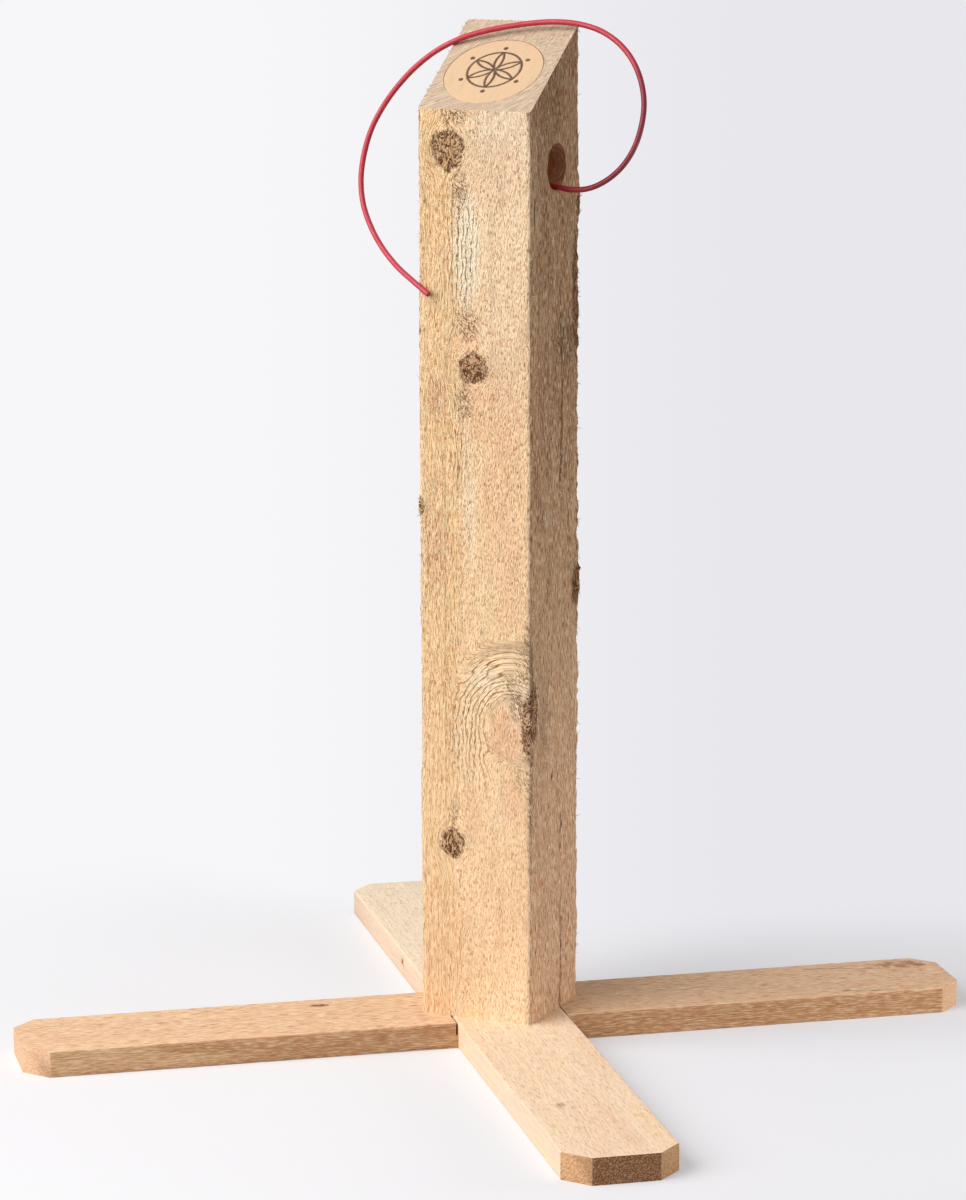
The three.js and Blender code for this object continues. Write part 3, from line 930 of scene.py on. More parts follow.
def swirl_place(strip, along):
    """Each place's distances right of the swirl's middle, above it and out from it.

    The distance out is the same along each ring, so it grows more slowly up and down.
    """
    aside = POST_SECTION.from_place(strip, "front", SWIRL[0])
    rise = along - SWIRL[1]
    near = smooth(np.hypot(aside, rise), 34, 24)
    down = SWIRL_STRETCH_DOWN + (SWIRL_STRETCH_UP - SWIRL_STRETCH_DOWN) * near
    out = np.hypot(aside, rise / np.where(rise > 0, SWIRL_STRETCH_UP, down))
    return aside, rise, out


def post_flow(strip, along):
    """The post's grain, with the growth rings arching over the big swirl."""
    section = POST_SECTION
    flow = grain_flow(section, strip, along, POST_KNOTS)
    aside, rise, out = swirl_place(strip, along)
    arch = section.middles["front"] + SWIRL[0] - out
    share = smooth(patch(section, strip, along, "front", 26, 235, 50, 95), 0.0, 0.5)
    flow[:, 2] += (arch - flow[:, 2]) * share

    # The fibres bend with the rings, but for those right of the swirl and well below it.
    bent = (share * smooth(out, 17, 24) * smooth(out, 58, 48) * smooth(rise, -60, -15)
            * smooth(aside, 20, 13))
    flow[:, 0] += (arch - flow[:, 0]) * bent
    return flow


def on_face(strip, face, full=43):
    """1 on a face of the post and 0 on the others, with a soft change at its corners."""
    return smooth(np.abs(POST_SECTION.from_place(strip, face, 0)), 47, full)


def right_of_grain_line(strip, along):
    """How far right of the front's grain line each place lies."""
    across, height = np.array(GRAIN_LINE[::-1], float).T
    return POST_SECTION.from_place(strip, "front", 0) - np.interp(along, height, across)


def below_top(b, along):
    """How far straight below the post's slanted top each place lies."""
    return TOP_MIDDLE + b * TOP_SLOPE - along


def post_marks(strip, along):
    """Strength of the rings, of the fur, and the distance to a crack, all over the post."""
    section = POST_SECTION
    aside_line, on_front = right_of_grain_line(strip, along), on_face(strip, "front")
    rings = 0.1 + 0.2 * on_front * smooth(aside_line, 1.5, -2.5)
    rings = np.maximum(rings, strongest(section, strip, along, RING_PATCHES))
    aside, rise, out = swirl_place(strip, along)
    arches = (smooth(out, 20, 25) * smooth(out, 56, 48) * smooth(aside, 22, 4)
              * smooth(rise, -70, -10))
    rings = np.maximum(rings, 0.8 * arches)
    rings *= 1 - smooth(out, 22, 19)
    rings = np.maximum(rings, 0.4 * on_face(strip, "right"))
    fur = np.maximum(fur_on(section, strip, along, POST_KNOTS),
                     strongest(section, strip, along, FUR_PATCHES))
    on_line = np.exp(-(aside_line / 0.9) ** 2) * on_front * smooth(along, 470, 440)
    fur = np.maximum(fur, 0.4 * on_line)
    crack = crack_distance(section, strip, along, POST_CRACKS)
    return np.stack([rings, fur, crack], axis=1)


def tinted(tone, settings, strip, along, tints):
    """The post's colours with local tints laid over them one by one."""
    for tint in tints:
        share = tint.share * patch(POST_SECTION, strip, along, *tint[2:])
        tone = blend(tone, getattr(settings, tint.colour), share)
    return tone


def post_tone(settings, strip, along):
    """The wood's colour all over the post's long faces, before grain and fur, with some painted
    shade and highlight.
    """
    section = POST_SECTION
    tone = np.tile(np.array(settings.straw), (len(strip), 1))
    cloud = strip_noise(strip, along, 22, 80, 11, octaves=2)
    tone = blend(tone, settings.rose, 0.4 * smooth(cloud, 0.1, 0.9))
    tone = blend(tone, settings.cream, 0.5 * smooth(-cloud, 0.1, 0.9))

    # The front: honey-coloured left of the grain line, brighter in its upper part, and a
    # little pink low on its left.
    aside, on_front = right_of_grain_line(strip, along), on_face(strip, "front")
    honeyed = smooth(aside, 2, -3)
    tone = blend(tone, settings.honey, 0.8 * on_front * honeyed)
    brighter = (0.05 + 0.05 * honeyed) * on_front * smooth(along, 150, 300)
    tone *= 1 + brighter[:, None]
    tone = tinted(tone, settings, strip, along, TOP_TINTS)
    tone *= 1 + 0.06 * patch(section, strip, along, *ASH_GLEAM)[:, None]
    tone = tinted(tone, settings, strip, along, FRONT_TINTS)
    low_left = on_front * smooth(along, 170, 40) * smooth(aside, 25, 0)
    tone = blend(tone, settings.rose, 0.3 * low_left)

    # The right face: browner and darker towards the top, in part as painted shade, with a smudge
    # below the bore.
    on_right = on_face(strip, "right", 44)
    tone = blend(tone, settings.brown_and_shade, on_right * smooth(along, -100, 520))
    tone = tinted(tone, settings, strip, along, RIGHT_TINTS)
    tone *= 1 - 0.32 * patch(section, strip, along, *SMUDGE)[:, None]
    blotch = strip_noise(strip, along, 7, 38, 83, octaves=2)
    tone = blend(tone, settings.knot, 0.65 * on_right * smooth(blotch, 0.05, 0.8))
    tone = blend(tone, settings.rose, 0.8 * on_right * smooth(along, 420, 120))
    tone = blend(tone, settings.straw, 0.3 * on_right * smooth(-blotch, 0.1, 0.8))
    # The front is paler along its corners: partly wear, partly a painted highlight on the edges.
    wear_and_highlight = smooth(section.from_corner(strip), 4.5, 0.5)
    return blend(tone, settings.cream, 0.55 * wear_and_highlight * on_front)


def post_relief(settings, strip, along):
    """How far the sawn faces stand out or in, in millimetres."""
    section = POST_SECTION
    rough = settings.roughness / MM
    relief = rough * strip_noise(strip, along, 7, 30, 21, octaves=2)
    relief += 0.5 * smooth(swirl_place(strip, along)[2], 30, 8)
    relief += 0.6 * rough * strip_noise(strip, along, 2.6, 6, 25, octaves=1)
    tufts = strip_noise(strip, along, 2.2, 2.6, 31)
    for knot in POST_KNOTS:
        radii = section.oval(strip, along, *knot[:5])
        relief += knot.bulge * np.exp(-radii ** 2)
        relief += knot.fur * 0.5 * smooth(radii, 1.3, 0.8) * tufts

    # The corners are worn, and the one at the back of the right face is ragged.
    corner = section.from_corner(strip)
    nicks = np.maximum(strip_noise(strip, along, ALONG_ONLY, 8, 41, octaves=3), 0)
    wane = np.maximum(strip_noise(strip, along, ALONG_ONLY, 32, 45, octaves=2), 0)
    relief -= smooth(corner, 3.6, 0) * (0.15 + 1.1 * nicks + 1.3 * wane)
    ragged = patch(section, strip, along, "right", 45, 400, 7, 420)
    relief += ragged * 1.3 * strip_noise(strip, along, 2.6, 5.0, 51, octaves=2)
    crack = crack_distance(section, strip, along, POST_CRACKS)
    return relief - 1.0 * np.exp(-(crack / 1.1) ** 2)


def post_cutters():
    """The bore and its socket, the disc's seat, and the holes for the insert and the bolt."""
    side = Matrix.Rotation(math.pi / 2, 4, "Y")
    floor = POST_HALF - BORE_DEPTH
    bore = Matrix.Translation(Vector((floor, BORE_OFFSET, BORE_HEIGHT)) * MM) @ side
    socket_start = Vector((floor - SOCKET_DEPTH, BORE_OFFSET + SOCKET_OFFSET,
                           BORE_HEIGHT - SOCKET_DROP))
    socket = Matrix.Translation(socket_start * MM) @ side
    seat = top_place() @ Matrix.Translation(Vector((0, 0, -DISC_THICKNESS - FIT)) * MM)
    below = Matrix.Translation(Vector((0, 0, -1)) * MM)
    return [
        rod_mesh(BORE_RADIUS, BORE_DEPTH + 3, 64, bore),
        rod_mesh(SOCKET_RADIUS, SOCKET_DEPTH + 1, 20, socket),
        rod_mesh(DISC_RADIUS + FIT, DISC_THICKNESS + 5, 128, seat),
        rod_mesh(INSERT_HOLE_RADIUS, INSERT_HOLE_DEPTH + 1, 32, below),
        rod_mesh(FLANGE_SEAT_RADIUS, FLANGE_SEAT_DEPTH + 1, 32, below),
        rod_mesh(BOLT_HOLE_RADIUS, BOLT_HOLE_DEPTH + 1, 32, below),
    ]


def top_place():
    """The disc's place: the middle of its face on the slanted top, in the post's frame."""
    return (Matrix.Translation(Vector((0, 0, TOP_MIDDLE)) * MM)
            @ Matrix.Rotation(TOP_ANGLE, 4, "X")
            @ Matrix.Translation(Vector((DISC_SIDEWAYS, -DISC_DOWNHILL, 0)) * MM))


def make_post(wood, settings):
    """The sawn post: meshed finely, carved, roughened, and given its grain."""
    mesh = timber_mesh(
        "post_sawn", POST_HALF, POST_HALF, POST_EDGE_RADIUS, settings.grid_across / MM,
        lambda a, b: np.zeros_like(a), lambda a, b: TOP_MIDDLE + b * TOP_SLOPE,
        settings.grid_along / MM)
    mesh = carve(mesh, post_cutters())
    points = points_of(mesh) / MM
    index, normals, middles = corners_of(mesh)
    a, b, along = points[index].T
    middle_a, middle_b, middle_along = (middles / MM).T
    outer = POST_SECTION.is_outer(middle_a, middle_b) & (np.abs(normals[:, 2]) < 0.5)
    strip = POST_SECTION.strip_by_face(a, b, normals[:, 0], normals[:, 1])
    flow = post_flow(strip, along)
    marks = post_marks(strip, along)
    tone = post_tone(wood, strip, along)

    # The slanted top, the foot and the insides of the holes have grain of their own.
    on_top = below_top(middle_b, middle_along) < END_REACH
    arcs = np.hypot(a - POST_PITH[0], b - POST_PITH[1])
    flow[~outer] = np.stack([arcs, (a * 0.6 - b * 0.8) * 2.5, arcs], axis=1)[~outer]
    marks[~outer] = (0.1, 0.0, NO_CRACK)
    tone[~outer] = wood.bore
    tone[~outer & on_top] = wood.top

    # The right face and the straight wood left of the grain line have longer, thinner marks.
    on_right = outer & (normals[:, 0] > np.abs(normals[:, 1]))
    flow[on_right, :2] *= RIGHT_FACE_SCALE
    aside = right_of_grain_line(POST_SECTION.middles["front"] + middle_a, middle_along)
    straight = outer & (normals[:, 1] < -np.abs(normals[:, 0])) & (aside < -1)
    flow[straight, :2] *= STRAIGHT_SCALE
    upper = smooth(along, 120, 320)
    strength = 0.9 + 0.25 * upper + 0.25 * straight * upper
    strength[on_right] = 1.5
    place = np.stack([strip, along, strength], axis=1)
    place[~outer] = np.stack([a, b, np.full_like(a, 0.7)], axis=1)[~outer]
    store_grain(mesh, flow, place, marks, tone)

    a, b, along = points.T
    strip = POST_SECTION.strip(a, b)
    outer = POST_SECTION.is_outer(a, b)
    relief = post_relief(settings, strip, along) * outer
    at_end = (below_top(b, along) < END_REACH) | (along < END_REACH)
    relief *= np.where(at_end, 0.35, 1.0)
    points[:, :2] += POST_SECTION.outward(a, b, POST_EDGE_RADIUS) * relief[:, None]
    set_points(mesh, points * MM)
    store(mesh, "fuzz", post_fuzz(strip, along, b) * outer, "FLOAT")
    finish_timber("post_sawn", mesh, POST_PLACE, "turning_post", "post")
    mesh.materials.append(wood_material("Sawn Spruce", wood, tick_width=0.92,
                                        crack_width=0.75, bump=0.6 * MM))


def post_fuzz(strip, along, b):
    """Where loose fibres stand up from the post: most round the knots and at the torn edges.

    There are none on the lowest few millimetres, which would brush the boards as it turns.
    """
    section = POST_SECTION
    fuzz = post_marks(strip, along)[:, 1] ** 1.5
    corner = section.from_corner(strip)
    fuzz = np.maximum(fuzz, 0.12 * smooth(corner, 4, 0))
    fuzz = np.maximum(fuzz, 0.6 * patch(section, strip, along, "right", 45, 400, 6, 420))
    rim = below_top(np.clip(b, -POST_HALF, POST_HALF), along)
    fuzz = np.maximum(fuzz, 0.7 * smooth(rim, 5, 1))
    clear_of_cross = smooth(along, 4, 7)
    return np.maximum(fuzz, 0.25) * clear_of_cross


def finish_timber(name, mesh, place, body, node):
    """Moves a timber's mesh to its place and makes it stand for the solid's node."""
    mesh.name = name
    mesh.materials.clear()
    mesh.transform(place)
    sharpen(mesh, math.radians(50))
    timber = new_object(name, mesh)
    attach(timber, body)
    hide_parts(node)


# ---------------------------------------------------------------- loose fibres


def fibre_mesh():
    """One fibre, 1 long and 1 thick at its root: a three-sided spike with a bend."""
    rings = [(0.0, 0.0, 0.5), (0.45, 0.16, 0.36), (0.8, 0.56, 0.2)]
    points = [(radius * math.cos(angle), radius * math.sin(angle) + lean, height)
              for height, lean, radius in rings
              for angle in (0, 2 * math.pi / 3, 4 * math.pi / 3)]
    points.append((0, 1.2, 1.0))
    faces = [(0, 2, 1)]
    for ring in (0, 3):
        faces += [(ring + i, ring + (i + 1) % 3, ring + 3 + (i + 1) % 3, ring + 3 + i)
                  for i in range(3)]
    faces += [(6, 7, 9), (7, 8, 9), (8, 6, 9)]
    return mesh_from("fibre", points, faces)


def fibre_tree(fibre):
    """Geometry nodes that plant fibres where the mesh's fuzz says, leaning along the grain."""
    tree = bpy.data.node_groups.new("Loose Fibres", "GeometryNodeTree")
    face = tree.interface
    for name, kind in (("Geometry", "NodeSocketGeometry"), ("Density", "NodeSocketFloat"),
                       ("Length", "NodeSocketFloat"), ("Width", "NodeSocketFloat"),
                       ("Grain", "NodeSocketVector"), ("Seed", "NodeSocketInt"),
                       ("Material", "NodeSocketMaterial")):
        face.new_socket(name, in_out="INPUT", socket_type=kind)
    face.new_socket("Geometry", in_out="OUTPUT", socket_type="NodeSocketGeometry")
    maker = NodeMaker(tree)
    given = maker.add("NodeGroupInput").outputs
    fuzz = maker.add("GeometryNodeInputNamedAttribute", {"Name": "fuzz"}, data_type="FLOAT")
    density = maker.times(fuzz.outputs["Attribute"], given["Density"])
    planted = maker.add("GeometryNodeDistributePointsOnFaces", {
        "Mesh": given["Geometry"], "Density": density, "Seed": given["Seed"]})

    def vector_math(operation, first, second):
        key = "Scale" if operation == "SCALE" else 1
        return maker.add("ShaderNodeVectorMath", {0: first, key: second},
                         operation=operation).outputs[0]

    def random_vector(reach, seed):
        inputs = {0: (-reach, -reach, -reach), 1: (reach, reach, reach), "Seed": seed}
        return maker.add("FunctionNodeRandomValue", inputs, data_type="FLOAT_VECTOR").outputs[0]

    def random_number(low, high, seed):
        inputs = {2: low, 3: high, "Seed": seed}
        return maker.add("FunctionNodeRandomValue", inputs, data_type="FLOAT").outputs[1]

    # Each fibre lies up or down the grain, is lifted off the wood and strays a little.
    way = vector_math("SCALE", vector_math("MULTIPLY", given["Grain"], random_vector(1, 1)), 1.5)
    lift = vector_math("SCALE", planted.outputs["Normal"], random_number(0.15, 0.9, 2))
    way = vector_math("ADD", vector_math("ADD", way, lift), random_vector(0.3, 3))
    turn = maker.add("FunctionNodeAlignRotationToVector", {"Vector": way}, axis="Z")
    length = maker.times(random_number(0.35, 1.3, 4), given["Length"])
    scale = maker.vector(given["Width"], given["Width"], length)
    source = maker.add("GeometryNodeObjectInfo", {"Object": fibre})
    spread = maker.add("GeometryNodeInstanceOnPoints", {
        "Points": planted.outputs["Points"], "Instance": source.outputs["Geometry"],
        "Rotation": turn.outputs["Rotation"], "Scale": scale})
    solid = maker.add("GeometryNodeRealizeInstances", {"Geometry": spread.outputs["Instances"]})
    dressed = maker.add("GeometryNodeSetMaterial", {"Geometry": solid.outputs["Geometry"],
                                                    "Material": given["Material"]})
    maker.add("NodeGroupOutput", {"Geometry": dressed.outputs["Geometry"]})
    return tree


def fibre_material(settings):
    """Fibres in the colour of the wood that they stand on, some of them darker."""
    material, maker = new_material("Loose Fibre")
    tone, fuzz = maker.attribute("tone"), maker.attribute("fuzz", "Fac")
    place = maker.add("ShaderNodeTexCoord").outputs["Object"]
    mottle = maker.noise(place, 260.0, 2.0)
    paint = maker.mix(maker.ramp(mottle, 0.4, 0.7, 0.0, 0.7), tone, tuple(settings.pale))
    dark = maker.times(maker.ramp(mottle, 0.56, 0.44), maker.ramp(fuzz, 0.25, 0.8))
    paint = maker.mix(dark, paint, tuple(settings.heart))
    surface(maker, {"Base Color": paint, "Roughness": maker.ramp(mottle, 0, 1, 0.7, 0.9),
                    "Specular IOR Level": 0.2})
    return material


def make_fibres(wood, settings):
    """Loose fibres on the sawn post, baked into one mesh."""
    post = bpy.data.objects["post_sawn"]
    pattern = new_object("fibre_pattern", fibre_mesh())
    grown = new_object("post_fibres", post.data.copy())
    tree = fibre_tree(pattern)
    modifier = grown.modifiers.new("fibres", "NODES")
    modifier.node_group = tree

    # Grain is how far a fibre may point each way: far up and down, as the grain runs.
    values = {
        "Density": settings.fibre_density, "Length": settings.fibre_length,
        "Width": settings.fibre_width, "Grain": (0.25, 0.25, 1.0), "Seed": 5,
        "Material": fibre_material(wood),
    }
    for socket in tree.interface.items_tree:
        if socket.in_out == "INPUT" and socket.name in values:
            modifier[socket.identifier] = values[socket.name]
    mesh = baked(grown)
    bpy.data.objects.remove(grown)
    bpy.data.objects.remove(pattern)
    fibres = new_object("post_fibres", mesh)
    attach(fibres, "turning_post")


# ---------------------------------------------------------------- the boards of the cross

# On a board, "front" is the broad face on top and the height runs along the board.
BOARD_SECTION = Section(BOARD_WIDTH / 2, BOARD_THICKNESS / 2)
LOWER_KNOTS = [
    Knot("front", -26, 336, 8, 22, 0.1, 0.1),
    Knot("front", -26, -131, 3.2, 7, 0.95, 0.0),
    Knot("back", 12, -220, 8, 14, 0.2, 0.1),
]
UPPER_KNOTS = [
    Knot("front", -17, -248, 3, 5, 0.4, 0.0),
    Knot("left", 2, 158, 2.6, 4, 0.7, 0.0),
    Knot("front", 14, 262, 5, 10, 0.3, 0.1),
]
LOWER_CRACKS = [
    Crack("front", [(30.5, 268), (36, 285), (38.5, 311)]),
    Crack("front", [(-31, 258), (-27, 285), (-20.5, 309)]),
    Crack("front", [(-27, 320), (-20.5, 338), (-24, 356)]),
]
UPPER_CRACKS = [
    Crack("back", [(-20, 150), (-18, 240)]),
]
BOARD_KNOT_SHADE = (0.6, 0.45, 0.42)

# A board's piece and its solid, its marks, the seed of its noises, how strongly the grain
# shows on its broad faces and its sides, and the colour settings of its broad faces, its
# sides, its clipped corners, its ends and its top well beyond the post, which on the upper
# board is a paler colour as painted light.
Board = namedtuple("Board", "name node knots cracks seed broad_grain side_grain "
                            "broad side clip end far")
LOWER_BOARD = Board("board_lower", "cross_board_lower", LOWER_KNOTS, LOWER_CRACKS, 61, 1.0, 0.6,
                    "lower_board", "lower_side", "lower_clip", "lower_clip", "lower_board")
UPPER_BOARD = Board("board_upper", "cross_board_upper", UPPER_KNOTS, UPPER_CRACKS, 71, 0.6, 0.15,
                    "upper_board", "upper_side", "upper_clip", "board_end", "upper_far_painted_light")


def corner_cutters():
    """What clips the corners of a board, in the board's own frame."""
    half, end, thick = BOARD_WIDTH / 2, BOARD_LENGTH / 2, BOARD_THICKNESS / 2
    flat = Vector((0, 1, 0))
    reach = 40
    cutters = []
    for side in (-1, 1):
        for way in (-1, 1):
            out = Vector((side, 0, way)).normalized()
            turn = Matrix((out, flat, out.cross(flat))).transposed().to_4x4()
            middle = Vector((side * (half - BOARD_CLIP / 2), 0, way * (end - BOARD_CLIP / 2)))
            cutter = block_mesh((0, -2 * thick, -reach), (reach, 2 * thick, reach))
            cutter.transform(Matrix.Translation(middle * MM) @ turn)
            cutters.append(cutter)
    return cutters


def board_tone(board, wood, strip, along):
    """A board's own colour over its long faces."""
    section = BOARD_SECTION
    broad, side = getattr(wood, board.broad), getattr(wood, board.side)
    narrow = np.ones(len(strip))
    for face in ("front", "back"):
        narrow *= smooth(np.abs(section.from_place(strip, face, 0)),
                         section.half_a - 1, section.half_a + 1)
    tone = blend(np.tile(np.array(broad), (len(strip), 1)), side, narrow)
    cloud = strip_noise(strip, along, 14, 150, board.seed, octaves=2)
    tone = blend(tone, wood.rose, 0.25 * smooth(cloud, 0.0, 0.9))
    return blend(tone, wood.straw, 0.4 * smooth(-cloud, 0.0, 0.9))


def make_board(board, wood, place, cutters):
    """One board of the cross with its grain running along it."""
    section = BOARD_SECTION
    mesh = timber_mesh(
        board.name, section.half_a, section.half_b, BOARD_EDGE_RADIUS, BOARD_GRID_ACROSS,
        lambda a, b: np.full_like(a, -BOARD_LENGTH / 2),
        lambda a, b: np.full_like(a, BOARD_LENGTH / 2), BOARD_GRID_ALONG)
    mesh = carve(mesh, cutters)
    points = points_of(mesh) / MM
    index, normals, middles = corners_of(mesh)
    a, b, along = points[index].T
    middle_a, middle_b, _ = (middles / MM).T
    outer = section.is_outer(middle_a, middle_b) & (np.abs(normals[:, 2]) < 0.4)
    strip = section.strip_by_face(a, b, normals[:, 0], normals[:, 1])
    flow = grain_flow(section, strip, along, board.knots)
    flow[:, :2] *= BOARD_SCALE
    fur = fur_on(section, strip, along, board.knots)
    crack = crack_distance(section, strip, along, board.cracks)
    marks = np.stack([np.full_like(fur, 0.08), fur, crack], axis=1)
    tone = board_tone(board, wood, strip, along)
    on_broad_top = normals[:, 1] < -0.5
    # Painted light: the broad top well beyond the post is blended to the far colour, paler on the
    # upper board, against the post's shade there.
    tone = blend(tone, getattr(wood, board.far), smooth(along, 60, 140) * on_broad_top)
    for knot in board.knots:
        share = patch(section, strip, along, knot.face, knot.across, knot.height,
                      knot.half_width * 1.5, knot.half_height * 1.5)
        tone = blend(tone, np.array(wood.rose) * BOARD_KNOT_SHADE, 0.85 * share)

    # The sawn ends show the rings as arcs.
    arcs = np.hypot(a - BOARD_PITH[0], b - BOARD_PITH[1])
    flow[~outer] = np.stack([arcs, (a * 0.8 - b * 0.6) * 3, arcs], axis=1)[~outer]
    marks[~outer] = (0.12, 0.0, NO_CRACK)
    tone[~outer] = getattr(wood, board.clip)
    at_end = ~outer & (np.abs(normals[:, 2]) > 0.9)
    tone[at_end] = getattr(wood, board.end)
    # Painted shade: the walls of the lap, deep in the slit's shade, take the dark knot colour.
    lap_shade = at_end & (np.abs(along) < BOARD_LENGTH / 4)
    tone[lap_shade] = wood.knot
    on_side = outer & (np.abs(normals[:, 0]) > np.abs(normals[:, 1]))
    strength = np.select([at_end, ~outer, on_side], [0.6, 0.5, board.side_grain],
                         board.broad_grain)
    store_grain(mesh, flow, np.stack([strip, along, strength], axis=1), marks, tone)

    # The planed faces are nearly flat, and the edges have small nicks.
    a, b, along = points.T
    strip = section.strip(a, b)
    relief = 0.07 * strip_noise(strip, along, 9, 40, board.seed + 5, octaves=2)
    corner = section.from_corner(strip)
    nicks = np.maximum(strip_noise(strip, along, ALONG_ONLY, 9, board.seed + 9, octaves=2), 0)
    relief -= smooth(corner, 2.0, 0) * 0.35 * nicks
    relief = np.minimum(relief, 0) * section.is_outer(a, b)
    points[:, :2] += section.outward(a, b, BOARD_EDGE_RADIUS) * relief[:, None]
    set_points(mesh, points * MM)
    finish_timber(board.name, mesh, place, "cross", board.node)
    title = board.name.title().replace("_", " ")
    mesh.materials.append(wood_material(title, wood, tick_width=0.85, crack_width=0.6,
                                        bump=0.2 * MM))


def make_cross(wood):
    """The two boards, half-lapped into each other."""
    half, thick = BOARD_WIDTH / 2, BOARD_THICKNESS / 2
    middle = POST_FOOT / MM
    lift = Matrix.Translation(Vector((0, 0, thick)) * MM)
    along_x = Matrix(((0, 0, 1, 0), (-1, 0, 0, 0), (0, -1, 0, 0), (0, 0, 0, 1)))
    lower_place = Matrix.Translation(Vector((0, middle.y, 0)) * MM) @ lift @ along_x
    upper_place = (Matrix.Translation(Vector((middle.x, 0, 0)) * MM)
                   @ lift @ Matrix.Rotation(math.pi / 2, 4, "Z") @ along_x)
    through = rod_mesh(BOLT_HOLE_RADIUS, 3 * thick, 32,
                       Matrix.Translation(Vector((0, 0, -1.5 * thick)) * MM))
    through.transform(Matrix.Rotation(math.pi / 2, 4, "X"))

    # The lap lies at the post's axis, which is off the middle of each board.
    wide, deep = half + CUT_SPARE, thick + CUT_SPARE
    slit, tight = half + LAP_SLACK, half + FIT
    lower = corner_cutters()
    lower.append(block_mesh((-wide, -deep, middle.x - slit), (wide, 0, middle.x + tight)))
    counterbore = rod_mesh(COUNTERBORE_RADIUS, 10, 48,
                           Matrix.Translation(Vector((0, 0, -10 - thick + COUNTERBORE_DEPTH)) * MM))
    counterbore.transform(Matrix.Rotation(math.pi / 2, 4, "X"))
    for tool in (through.copy(), counterbore):
        tool.transform(Matrix.Translation(Vector((0, 0, middle.x)) * MM))
        lower.append(tool)
    upper = corner_cutters()
    upper.append(block_mesh((-wide, 0, middle.y - tight), (wide, deep, middle.y + tight)))
    tool = through.copy()
    tool.transform(Matrix.Translation(Vector((0, 0, middle.y)) * MM))
    upper.append(tool)
    make_board(LOWER_BOARD, wood, lower_place, lower)
    make_board(UPPER_BOARD, wood, upper_place, upper)


# ---------------------------------------------------------------- the inlaid disc

ROSETTE_RADIUS = 20.5
ROSETTE_PETALS = 6
ROSETTE_PLACE = (0.0, 2.0)  # from the disc's middle, uphill
ROSETTE_LINE = 0.85  # half the width of a burnt line
ROSETTE_DEPTH = 0.35
DOT_RING_RADIUS = 25.5
DOT_RADIUS = 0.9
DISC_STEP = 0.5
DISC_BEVEL = 0.4


def rosette(x, y):
    """How deeply each place of the disc is burnt, from 0 to 1: a six-petalled compass rose."""
    x, y = x - ROSETTE_PLACE[0], y - ROSETTE_PLACE[1]
    out = np.hypot(x, y)
    lines = np.abs(out - ROSETTE_RADIUS)
    for petal in range(ROSETTE_PETALS):
        angle = petal * math.pi / 3 + math.pi / 6
        way = math.cos(angle), math.sin(angle)
        arc = np.abs(np.hypot(x - ROSETTE_RADIUS * way[0], y - ROSETTE_RADIUS * way[1])
                     - ROSETTE_RADIUS)
        lines = np.minimum(lines, np.where(out < ROSETTE_RADIUS, arc, 9))
        dot = np.hypot(x - DOT_RING_RADIUS * way[0], y - DOT_RING_RADIUS * way[1]) - DOT_RADIUS
        lines = np.minimum(lines, dot)
    return smooth(lines, ROSETTE_LINE + 0.3, ROSETTE_LINE - 0.1)


def disc_material(settings):
    """Sanded wood with faint straight grain and burnt lines."""
    material, maker = new_material("Disc Wood")
    across, along, burnt = maker.parts(maker.attribute("disc"))
    grain = maker.streaks(across, along, 1.6, 26.0, 0, 3.0, 0.6)
    broad = maker.streaks(across, along, 9.0, 60.0, 4.0)
    wood = maker.mix(maker.ramp(grain, 0.4, 0.75, 0.0, 0.25), tuple(settings.disc),
                     (0.72, 0.55, 0.38), "MULTIPLY")
    wood = maker.mix(maker.ramp(broad, 0.35, 0.7, 0.0, 0.3), wood, tuple(settings.rose))
    char = maker.times(burnt, maker.ramp(grain, 0.2, 0.8, 0.8, 1.0))
    wood = maker.mix(char, wood, tuple(settings.burn))
    relief = maker.add("ShaderNodeBump", {"Height": grain, "Strength": 0.4,
                                          "Distance": 0.05 * MM})
    surface(maker, {"Base Color": wood, "Roughness": maker.ramp(grain, 0.2, 0.8, 0.5, 0.68),
                    "Normal": relief.outputs["Normal"], "Specular IOR Level": 0.35})
    return material


